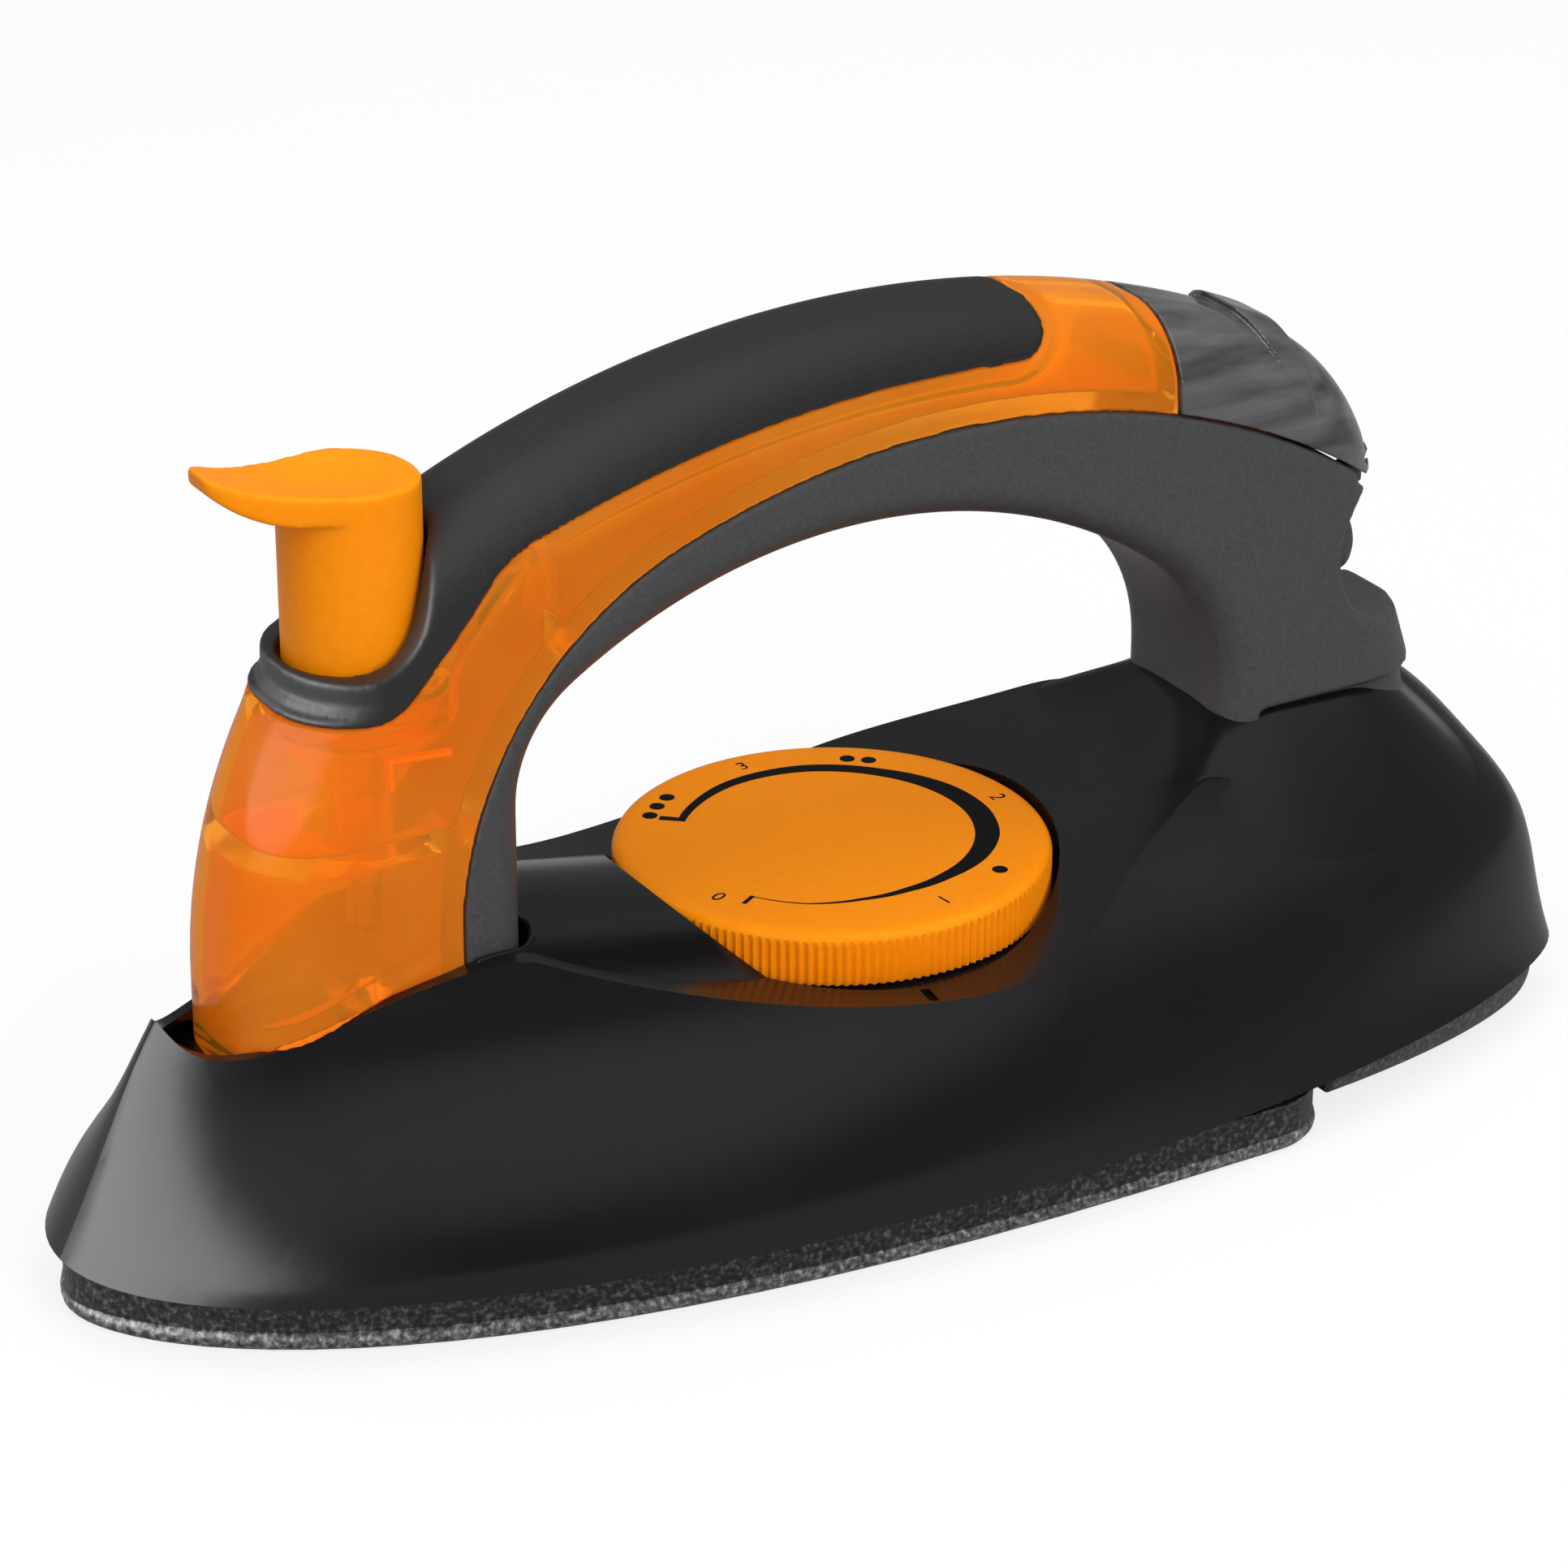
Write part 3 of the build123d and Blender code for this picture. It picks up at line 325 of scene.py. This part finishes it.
def softened(node):
    piece = mergedCopy(node, node + "_moulded")
    edge = softEdge[node]
    if "fill" in edge:
        addFill(piece, *edge["fill"])
    applyModifier(piece, "REMESH", mode="VOXEL", voxel_size=edge["voxel"] * mm)
    applyModifier(piece, "SMOOTH", factor=0.5, iterations=edge["passes"])
    if "keep" in edge:
        applyModifier(piece, "DECIMATE", ratio=edge["keep"])
    if "bore" in edge:
        openBore(piece, *edge["bore"])
    pick(piece)
    bpy.ops.object.shade_smooth()
    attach(piece, bodyOf[node])
    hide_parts(node)
    print("softened", node, len(piece.data.polygons), "faces")


for node in softEdge:
    softened(node)


# Temperature dial: turned form with a fluted rim
dial = {
    "x": 3.0, "domeTop": 35.8, "domeRadius": 900.0, "domeSteps": (0, 4, 8, 12, 16, 20, 23, 24.6),
    "flutes": 150, "fluteDepth": 0.45, "fluteShape": (0.0, 0.5, 1.0, 0.5),
    "fluteFrom": 26.05, "fluteTop": 34.6, "fluteFade": 0.8,
    # radius and height down the rim, under the skirt and into the hub
    "rim": [(25.3, 35.38), (25.85, 35.2), (26.25, 34.9), (26.5, 34.5), (26.6, 34.0), (26.6, 33.0)],
    "skirt": [(26.6, 31.0), (26.6, 29.2), (26.45, 28.75), (26.1, 28.6), (23.6, 28.6), (23.6, 32.7)],
    "hub": [(5.0, 32.7), (5.0, 25.2), (2.6, 25.2), (2.6, 31.9), (0.0, 31.9)],
}


def domeZ(radius):
    return dial["domeTop"] - radius ** 2 / (2 * dial["domeRadius"])


def turnedPiece(name, centre, axis, out, profile, steps):
    bpy.ops.object.select_all(action="DESELECT")
    bpy.ops.mesh.primitive_plane_add(size=1 * mm, location=(0, 0, 0))
    piece = bpy.context.object
    piece.name = name
    bpy.ops.object.mode_set(mode="EDIT")
    bpy.ops.mesh.select_all(action="SELECT")
    bpy.ops.mesh.merge(type="CENTER")
    place = Vector((0, 0, 0))
    for count, (radius, height) in enumerate(profile):
        target = (Vector(centre) + Vector(out) * radius + Vector(axis) * height) * mm
        move = {"value": tuple(target - place)}
        if count == 0:
            bpy.ops.transform.translate(**move)
        else:
            bpy.ops.mesh.extrude_region_move(TRANSFORM_OT_translate=move)
        place = target
    bpy.ops.mesh.select_all(action="SELECT")
    bpy.ops.mesh.spin(steps=steps, angle=2 * math.pi, center=Vector(centre) * mm, axis=axis)
    bpy.ops.object.mode_set(mode="OBJECT")
    closeSeams(piece, 0.000003)
    return piece


def makeDial():
    profile = [(radius, domeZ(radius)) for radius in dial["domeSteps"]]
    profile += dial["rim"] + dial["skirt"] + dial["hub"]
    share = dial["fluteShape"]
    steps = dial["flutes"] * len(share)
    piece = turnedPiece("dial_fluted", (dial["x"], 0, 0), (0, 0, 1), (1, 0, 0), profile, steps)
    for vert in piece.data.vertices:
        out = Vector((vert.co.x - dial["x"] * mm, vert.co.y, 0))
        below = dial["fluteTop"] - vert.co.z / mm
        if out.length > dial["fluteFrom"] * mm and below > 0:
            turn = round(math.atan2(out.y, out.x) / (2 * math.pi) * steps) % len(share)
            fade = min(1.0, below / dial["fluteFade"])
            vert.co -= out.normalized() * dial["fluteDepth"] * share[turn] * fade * mm
    smoothByAngle(piece, 32)
    setFinish(piece, finishOf["orange_plastic"])
    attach(piece, "dial")
    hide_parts("temperature_dial")


def inkFinish():
    mat = newFinish("dialInk", grey(0.004), 0.55, specular=0.08)
    speck = objectNoise(mat, 1500)
    varyColour(mat, speck, [(0.3, grey(0.003)), (0.7, grey(0.006))])
    varyRough(mat, speck, 0.45, 0.62)
    return mat


# Printed scale: angles in degrees, radii from the dial's middle
scalePrint = {
    "lift": 0.025, "thickness": 0.05, "wedgeSteps": 140, "dotRadius": 0.95, "numberSize": 2.9,
    # angle, inner radius and outer radius of the wedge
    "wedge": [
        (-151, 19.1, 19.25), (-130, 18.7, 18.95), (-110, 17.5, 18.1), (-90, 16.8, 17.9), (-70, 16.7, 18.4),
        (-50, 17.0, 19.5), (-30, 17.3, 20.3), (-10, 17.5, 20.6), (10, 17.5, 20.5), (40, 17.6, 19.8),
        (70, 18.1, 20.1), (100, 18.2, 19.8), (120, 18.05, 19.25), (136, 18.1, 19.1),
    ],
    # angle, inner radius, outer radius and width in degrees of the end marks
    "startMark": (-150.6, 19.0, 21.2, 1.6),
    "endMark": (136.0, 18.1, 21.4, 2.9),
    "dots": [(-56, 22.0), (46.5, 21.9), (53.5, 21.9), (121, 22.7), (128, 22.7), (134.9, 22.7)],
    "numbers": [("0", -160, 21.2), ("1", -84, 21.6), ("2", -3, 23.0), ("3", 88, 22.4)],
}


def onDial(angle, radius):
    turn = math.radians(angle)
    height = domeZ(radius) + scalePrint["lift"]
    return Vector(((dial["x"] + radius * math.cos(turn)) * mm, radius * math.sin(turn) * mm, height * mm))


def wedgeAt(angle):
    wedge = scalePrint["wedge"]
    for (start, startIn, startOut), (end, endIn, endOut) in zip(wedge, wedge[1:]):
        if start <= angle <= end:
            share = (angle - start) / (end - start)
            return startIn + (endIn - startIn) * share, startOut + (endOut - startOut) * share
    return wedge[-1][1:]


def bentStrip(name, rows, columns, place):
    bpy.ops.object.select_all(action="DESELECT")
    bpy.ops.mesh.primitive_grid_add(x_subdivisions=columns, y_subdivisions=rows, size=1)
    strip = bpy.context.object
    strip.name = name
    for vert in strip.data.vertices:
        vert.co = place(vert.co.x + 0.5, vert.co.y + 0.5)
    return strip


def printedDot(angle, radius):
    bpy.ops.object.select_all(action="DESELECT")
    bpy.ops.mesh.primitive_circle_add(
        vertices=32, radius=scalePrint["dotRadius"] * mm, fill_type="NGON", location=onDial(angle, radius))
    return bpy.context.object


def printedNumber(text, angle, radius):
    bpy.ops.object.select_all(action="DESELECT")
    bpy.ops.object.text_add(location=(0, 0, 0))
    number = bpy.context.object
    number.data.body = text
    number.data.size = scalePrint["numberSize"] * mm
    number.data.align_x = "CENTER"
    number.data.align_y = "CENTER"
    bpy.ops.object.convert(target="MESH")
    number = bpy.context.object
    number.location = onDial(angle, radius)
    number.rotation_euler = (0, 0, math.radians(angle - 90))
    return number


def makePrint():
    first, last = scalePrint["wedge"][0][0], scalePrint["wedge"][-1][0]

    def onWedge(u, v):
        angle = first + (last - first) * u
        low, high = wedgeAt(angle)
        return onDial(angle, high + (low - high) * v)

    def onMark(angle, low, high, wide):
        return lambda u, v: onDial(angle + (u - 0.5) * wide, high + (low - high) * v)

    marks = [
        bentStrip("scaleWedge", 2, scalePrint["wedgeSteps"], onWedge),
        bentStrip("scaleStart", 3, 2, onMark(*scalePrint["startMark"])),
        bentStrip("scaleEnd", 3, 3, onMark(*scalePrint["endMark"])),
    ]
    marks += [printedDot(*dot) for dot in scalePrint["dots"]]
    marks += [printedNumber(*number) for number in scalePrint["numbers"]]
    bpy.ops.object.select_all(action="DESELECT")
    for mark in marks:
        mark.select_set(True)
    bpy.context.view_layer.objects.active = marks[0]
    bpy.ops.object.transform_apply(location=True, rotation=True, scale=True)
    bpy.ops.object.join()
    piece = bpy.context.object
    piece.name = "dial_print"
    applyModifier(piece, "SOLIDIFY", thickness=scalePrint["thickness"] * mm, offset=-1.0)
    setFinish(piece, inkFinish())
    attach(piece, "dial")


makeDial()
makePrint()
print("dial made")


# Cord bush: ball with a short nose round its bore
bush = {
    "x": 66.4, "z": 59.6, "ball": 6.8, "bore": 3.2, "root": 5.6, "tip": 9.9, "ballSteps": 14, "steps": 72,
    # radius and distance from the tip
    "nose": [(5.35, -4.0), (5.1, -1.6), (4.75, -0.6), (4.1, 0.0), (3.6, 0.0), (3.2, -0.5)],
}


def makeBush():
    ball = bush["ball"]
    first = math.asin(bush["bore"] / ball)
    last = math.pi - math.asin(bush["root"] / ball)
    turns = [first + (last - first) * k / bush["ballSteps"] for k in range(bush["ballSteps"] + 1)]
    profile = [(ball * math.sin(turn), -ball * math.cos(turn)) for turn in turns]
    profile += [(radius, bush["tip"] + back) for radius, back in bush["nose"]]
    profile += [profile[0]]
    centre = (bush["x"], 0, bush["z"])
    piece = turnedPiece("bush_turned", centre, (1, 0, 0), (0, 0, 1), profile, bush["steps"])
    smoothByAngle(piece, 40)
    setFinish(piece, finishOf["grey_satin"])
    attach(piece, "bush")
    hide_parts("cord_bush")


makeBush()
print("bush made")


# Rear base cover: the node's own form, drawn down towards the heel
cover = {
    "top": 7.6, "low": 4.2, "frontLow": 3.4, "slope": 0.072, "frontX": 51.8, "rearX": 96.6, "half": 36.5,
    "out": 1.2, "edgeFrom": 0.72, "sideGain": 1.6,  # push of the outer wall
}


def makeCover():
    piece = mergedCopy("rear_base_cover", "rear_cover_moulded")
    for vert in piece.data.vertices:
        x, y, z = (c / mm for c in vert.co)
        along = (x - cover["frontX"]) / (cover["rearX"] - cover["frontX"])
        across = y / cover["half"]
        if along * along + across * across > cover["edgeFrom"]:
            y += math.copysign(cover["out"] * min(1, abs(across) * cover["sideGain"]), y)
            x += cover["out"] * along
        if z < cover["top"]:
            low = cover["frontLow"] - cover["slope"] * (x - cover["frontX"])
            share = (cover["top"] - z) / (cover["top"] - cover["low"])
            z = cover["top"] - share * (cover["top"] - low)
        vert.co = Vector((x, y, z)) * mm
    smoothByAngle(piece, 35)
    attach(piece, "base")
    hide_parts("rear_base_cover")


makeCover()
print("rear cover made")


# Soleplate lip: rounded bead along the lower edge, in a lighter copy of the sole finish as a painted
# highlight
lip = {
    "tip": -99.0, "tipPull": 9.7, "half": 40.5, "shoulder": 22.0, "shoulderPull": -74.8,
    "rear": 51.0, "corner": 9.0, "inset": 0.95, "z": 1.4, "bead": 1.3,
    "handle": 6.0, "roundPull": 0.5523,  # curve handles on the straights and in the corners
}


def tubeAlong(name, points, bead, closed):
    bpy.ops.object.select_all(action="DESELECT")
    bpy.ops.curve.primitive_bezier_curve_add(location=(0, 0, 0))
    tube = bpy.context.object
    tube.name = name
    tube.data.dimensions = "3D"
    spline = tube.data.splines[0]
    spline.bezier_points.add(len(points) - 2)
    for knot, (place, left, right) in zip(spline.bezier_points, points):
        knot.handle_left_type = "FREE"
        knot.handle_right_type = "FREE"
        knot.co = Vector(place) * mm
        knot.handle_left = Vector(left) * mm
        knot.handle_right = Vector(right) * mm
    spline.use_cyclic_u = closed
    tube.data.resolution_u = 24
    tube.data.bevel_depth = bead * mm
    tube.data.bevel_resolution = 5
    tube.data.use_fill_caps = not closed
    bpy.ops.object.convert(target="MESH")
    tube = bpy.context.object
    closeSeams(tube)
    bpy.ops.object.shade_smooth()
    return tube


def makeLip():
    z = lip["z"]
    half = lip["half"] - lip["inset"]
    tip = lip["tip"] + lip["inset"]
    rear = lip["rear"] - lip["inset"]
    turn = lip["corner"] - lip["inset"]
    pull = turn * lip["roundPull"]
    handle = lip["handle"]
    knots = []
    for side in (-1, 1):
        y = side * half
        shoulder = [(x, y, z) for x in (lip["shoulder"], lip["shoulderPull"], lip["shoulder"] + handle)]
        start = [(rear - turn + x, y, z) for x in (0, -handle, pull)]
        end = [(rear, y - side * inwards, z) for inwards in (turn, turn - pull, turn + handle)]
        knots.append([shoulder, start, end])
    near, far = knots
    back = [(place, right, left) for place, left, right in reversed(far)]
    front = ((tip, 0, z), (tip, lip["tipPull"], z), (tip, -lip["tipPull"], z))
    piece = tubeAlong("sole_lip", [front] + near + back, lip["bead"], True)
    # painted highlight: the bead gets a lighter copy of the sole's cast finish
    setFinish(piece, soleCast("soleLipPaintedHighlight", grey(0.045), grey(0.15), (0.50, 0.48, 0.44)))
    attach(piece, "base")


makeLip()
print("sole lip made")


# Raised seat of the hull round the rear leg's foot
legSeat = {
    "front": 52.2, "rear": 80.0, "half": 12.0, "corner": 9.0, "cornerSteps": 18, "spacing": 1.2,
    "top": 44.4, "fall": 0.055, "inner": -1.5, "rings": 22, "wall": 0.8, "sink": 0.12,
    "least": 3.0, "reach": 11.0, "sideReach": 7.0, "stride": 0.5, "evenPasses": 30,  # how far it runs out
    "slopePower": 1.15, "frontSlope": 0.55,  # shape of its slope
    "skyZ": 120.0, "noGround": 20.0,
}


def seatOutline():
    corner = legSeat["corner"]
    side = legSeat["half"] - corner
    front = legSeat["front"] + corner
    rear = legSeat["rear"] - corner
    rim = []
    for x, y, start in ((rear, side, 0), (front, side, 90), (front, -side, 180), (rear, -side, 270)):
        for step in range(legSeat["cornerSteps"] + 1):
            turn = math.radians(start + 90 * step / legSeat["cornerSteps"])
            out = Vector((math.cos(turn), math.sin(turn), 0))
            rim.append((Vector((x, y, 0)) + out * corner, out))
    outline = []
    for (place, out), (ahead, _) in zip(rim, rim[1:] + rim[:1]):
        steps = max(1, round((ahead - place).length / legSeat["spacing"]))
        outline += [(place.lerp(ahead, k / steps), out) for k in range(steps)]
    return outline


def makeLegSeat():
    shell = nodes["body_shell"]
    outline = seatOutline()
    count = len(outline)

    def groundAt(place):
        start = Vector((place.x, place.y, legSeat["skyZ"])) * mm
        hit, ground, normal, face = shell.ray_cast(start, Vector((0, 0, -1)))
        return ground.z / mm if hit else legSeat["noGround"]

    def topAt(place):
        return legSeat["top"] - legSeat["fall"] * (place.x - legSeat["front"])

    # Distance at which a line from the foot lies along the hull
    def reachFrom(place, out):
        top = topAt(place)
        farthest = legSeat["reach"] + legSeat["sideReach"] * abs(out.y)
        count = round((farthest - legSeat["least"]) / legSeat["stride"]) + 1
        tries = [legSeat["least"] + legSeat["stride"] * step for step in range(count)]
        return max(tries, key=lambda distance: (groundAt(place + out * distance) - top) / distance)

    reaches = [reachFrom(place, out) for place, out in outline]
    for turn in range(legSeat["evenPasses"]):
        reaches = [(reaches[k - 1] + 2 * reaches[k] + reaches[(k + 1) % count]) / 4 for k in range(count)]

    def onSeat(u, v):
        index = round(u * count) % count
        place, out = outline[index]
        spot = place + out * (legSeat["inner"] + (reaches[index] - legSeat["inner"]) * v)
        end = groundAt(place + out * reaches[index])
        level = v * v * (3 - 2 * v)
        straight = legSeat["frontSlope"] + (1 - legSeat["frontSlope"]) * abs(out.y)
        share = level + (v ** legSeat["slopePower"] - level) * straight
        top = topAt(place)
        height = max(groundAt(spot), top + (end - top) * share) - legSeat["sink"] * v ** 6
        return Vector((spot.x, spot.y, height)) * mm

    piece = bentStrip("leg_seat", legSeat["rings"], count, onSeat)
    closeSeams(piece, 0.000005)
    if sum(face.normal.z for face in piece.data.polygons) < 0:
        piece.data.flip_normals()
    applyModifier(piece, "SMOOTH", factor=0.5, iterations=3)
    applyModifier(piece, "SOLIDIFY", thickness=legSeat["wall"] * mm, offset=-1.0)
    smoothByAngle(piece, 50)
    setFinish(piece, finishOf["black_gloss"])
    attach(piece, "base")


makeLegSeat()
print("leg seat made")


def makeSpring():
    piece = mergedCopy("button_spring", "spring_coil")
    smoothByAngle(piece, 40)
    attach(piece, "base")
    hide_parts("button_spring")
    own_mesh(piece)


makeSpring()
print("spring made")


# Bead round the socket of the front leg, laid on the deck
socket = {
    "front": -52.0, "rear": -43.0, "half": 12.7, "corner": 4.6, "bead": 0.42, "sink": 0.1,
    "sideSteps": 4, "cornerSteps": 8, "skyZ": 80.0,
}


def straightKnots(points):
    return [(place, place, place) for place in points]


def makeSocketRim():
    corner = socket["corner"]
    side = socket["half"] - corner
    middle = socket["rear"] - corner
    count = socket["sideSteps"]
    stride = (middle - socket["front"]) / count
    plan = [(socket["front"] + stride * k, -socket["half"]) for k in range(count)]
    for y, start in ((-side, -90), (side, 0)):
        for step in range(socket["cornerSteps"] + 1):
            turn = math.radians(start + 90 * step / socket["cornerSteps"])
            plan.append((middle + corner * math.cos(turn), y + corner * math.sin(turn)))
    plan += [(x, -y) for x, y in reversed(plan[:count])]
    points = []
    for x, y in plan:
        start = Vector((x, y, socket["skyZ"])) * mm
        hit, ground, normal, face = nodes["body_shell"].ray_cast(start, Vector((0, 0, -1)))
        points.append((x, y, ground.z / mm - socket["sink"]))
    piece = tubeAlong("socket_rim", straightKnots(points), socket["bead"], False)
    setFinish(piece, finishOf["black_gloss"])
    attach(piece, "base")


makeSocketRim()
print("socket rim made")


# Small moulded rib on the inner face of the tank's near wall
tankRib = {"path": [(-53.4, -9.7, 64.2), (-61.1, -9.7, 64.8), (-61.0, -9.7, 61.3)], "bead": 0.55}


def makeTankRib():
    piece = tubeAlong("tank_rib", straightKnots(tankRib["path"]), tankRib["bead"], False)
    setFinish(piece, finishOf["orange_plastic"])
    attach(piece, "base")


makeTankRib()
print("tank rib made")


# Floor, light and camera
studio = {
    "floorSize": 6.0, "floorWhite": 0.9, "shadowShare": 0.2,
    "floorGloss": 0.3, "floorBounce": 0.4,  # the floor as shiny and as dull pieces see it
    "airLevel": 0.22,
    "overhead": 0.5, "overheadFrom": 0.45,  # added high above for glossy rays
    "glossRamp": [(0.0, 6.4), (0.08, 5.6), (0.24, 0.3), (0.40, 0.13), (1.0, 0.2)],  # left to right
    # place, size and power
    "lamps": {
        "topSoftbox": ((0.05, -0.05, 1.0), 1.6, 13.0),
        "leftKey": ((-0.8, -0.5, 0.7), 0.6, 2.8),
        "nearFill": ((0.1, -1.2, 0.5), 0.8, 7.5),
    },
    "lampAim": (0, 0, 0.05),
    "cameraPlace": (-0.3087, -0.5076, 0.3239), "cameraAim": (-0.0037, 0.0, 0.0440),
    "sensor": 36, "halfView": 93.5 / 655,
}


# Larger of two node outputs
def largerOf(tree, first, second):
    larger = tree.nodes.new("ShaderNodeMath")
    larger.operation = "MAXIMUM"
    tree.links.new(first, larger.inputs[0])
    tree.links.new(second, larger.inputs[1])
    return larger.outputs[0]


# Changes from one value to another where the given kind of ray looks
def perRay(tree, ray, usual, forRay):
    level = tree.nodes.new("ShaderNodeMapRange")
    level.inputs["To Min"].default_value = usual
    level.inputs["To Max"].default_value = forRay
    tree.links.new(ray, level.inputs["Value"])
    return level.outputs["Result"]


def makeFloor():
    bpy.ops.object.select_all(action="DESELECT")
    bpy.ops.mesh.primitive_plane_add(size=studio["floorSize"], location=(0, 0, 0))
    floor = bpy.context.object
    floor.name = "studioFloor"
    mat = bpy.data.materials.new("paleFloor")
    mat.use_nodes = True
    tree = mat.node_tree
    tree.nodes.clear()
    out = tree.nodes.new("ShaderNodeOutputMaterial")
    flat = tree.nodes.new("ShaderNodeBsdfDiffuse")
    glow = tree.nodes.new("ShaderNodeEmission")
    rays = tree.nodes.new("ShaderNodeLightPath").outputs
    dull = perRay(tree, rays["Is Diffuse Ray"], studio["floorWhite"], studio["floorBounce"])
    tree.links.new(dull, flat.inputs["Color"])
    shiny = perRay(tree, rays["Is Glossy Ray"], 1.0, studio["floorGloss"])
    tree.links.new(shiny, glow.inputs["Strength"])
    seen = largerOf(tree, rays["Is Camera Ray"], rays["Is Glossy Ray"])
    seen = largerOf(tree, seen, rays["Is Transmission Ray"])
    share = tree.nodes.new("ShaderNodeMath")
    share.operation = "MULTIPLY"
    share.inputs[1].default_value = 1 - studio["shadowShare"]
    mix = tree.nodes.new("ShaderNodeMixShader")
    tree.links.new(seen, share.inputs[0])
    tree.links.new(share.outputs[0], mix.inputs["Fac"])
    tree.links.new(flat.outputs[0], mix.inputs[1])
    tree.links.new(glow.outputs[0], mix.inputs[2])
    tree.links.new(mix.outputs[0], out.inputs["Surface"])
    floor.data.materials.append(mat)


def makeWorld():
    world = bpy.data.worlds.new("studioAir")
    bpy.context.scene.world = world
    world.use_nodes = True
    tree = world.node_tree
    back = tree.nodes["Background"]
    rays = tree.nodes.new("ShaderNodeLightPath").outputs
    coords = tree.nodes.new("ShaderNodeTexCoord")
    split = tree.nodes.new("ShaderNodeSeparateXYZ")
    across = tree.nodes.new("ShaderNodeMapRange")
    across.inputs["From Min"].default_value = -1
    ramp = tree.nodes.new("ShaderNodeValToRGB")
    ramp.color_ramp.interpolation = "EASE"
    while len(ramp.color_ramp.elements) < len(studio["glossRamp"]):
        ramp.color_ramp.elements.new(0.5)
    for element, (place, level) in zip(ramp.color_ramp.elements, studio["glossRamp"]):
        element.position = place
        element.color = (level, level, level, 1)
    above = tree.nodes.new("ShaderNodeMapRange")
    above.interpolation_type = "SMOOTHSTEP"
    above.inputs["From Min"].default_value = studio["overheadFrom"]
    above.inputs["To Max"].default_value = studio["overhead"]
    both = tree.nodes.new("ShaderNodeMix")
    both.data_type = "RGBA"
    both.blend_type = "ADD"
    both.inputs["Factor"].default_value = 1
    gloss = tree.nodes.new("ShaderNodeMix")
    gloss.data_type = "RGBA"
    gloss.inputs["A"].default_value = (studio["airLevel"],) * 3 + (1,)
    clear = tree.nodes.new("ShaderNodeMix")
    clear.data_type = "RGBA"
    clear.inputs["B"].default_value = (1, 1, 1, 1)
    tree.links.new(coords.outputs["Generated"], split.inputs[0])
    tree.links.new(split.outputs["X"], across.inputs["Value"])
    tree.links.new(across.outputs["Result"], ramp.inputs["Fac"])
    tree.links.new(rays["Is Glossy Ray"], gloss.inputs["Factor"])
    tree.links.new(split.outputs["Z"], above.inputs["Value"])
    tree.links.new(ramp.outputs["Color"], both.inputs["A"])
    tree.links.new(above.outputs["Result"], both.inputs["B"])
    tree.links.new(both.outputs["Result"], gloss.inputs["B"])
    seen = largerOf(tree, rays["Is Camera Ray"], rays["Is Transmission Ray"])
    tree.links.new(seen, clear.inputs["Factor"])
    tree.links.new(gloss.outputs["Result"], clear.inputs["A"])
    tree.links.new(clear.outputs["Result"], back.inputs["Color"])


def aimAt(thing, target):
    thing.rotation_euler = (Vector(target) - thing.location).to_track_quat("-Z", "Y").to_euler()


def makeLamp(name, place, size, power):
    bpy.ops.object.light_add(type="AREA", location=place)
    lamp = bpy.context.object
    lamp.name = name
    lamp.data.shape = "RECTANGLE"
    lamp.data.size = size
    lamp.data.size_y = size
    lamp.data.energy = power
    lamp.visible_glossy = False
    aimAt(lamp, studio["lampAim"])


def makeCamera():
    bpy.ops.object.camera_add(location=studio["cameraPlace"])
    camera = bpy.context.object
    camera.name = "photoCamera"
    aimAt(camera, studio["cameraAim"])
    camera.data.sensor_width = studio["sensor"]
    camera.data.lens = studio["sensor"] / 2 / studio["halfView"]
    bpy.context.scene.camera = camera


makeFloor()
makeWorld()
for name, (place, size, power) in studio["lamps"].items():
    makeLamp(name, place, size, power)
makeCamera()
bpy.context.scene.view_settings.view_transform = "Standard"
print("stage set")
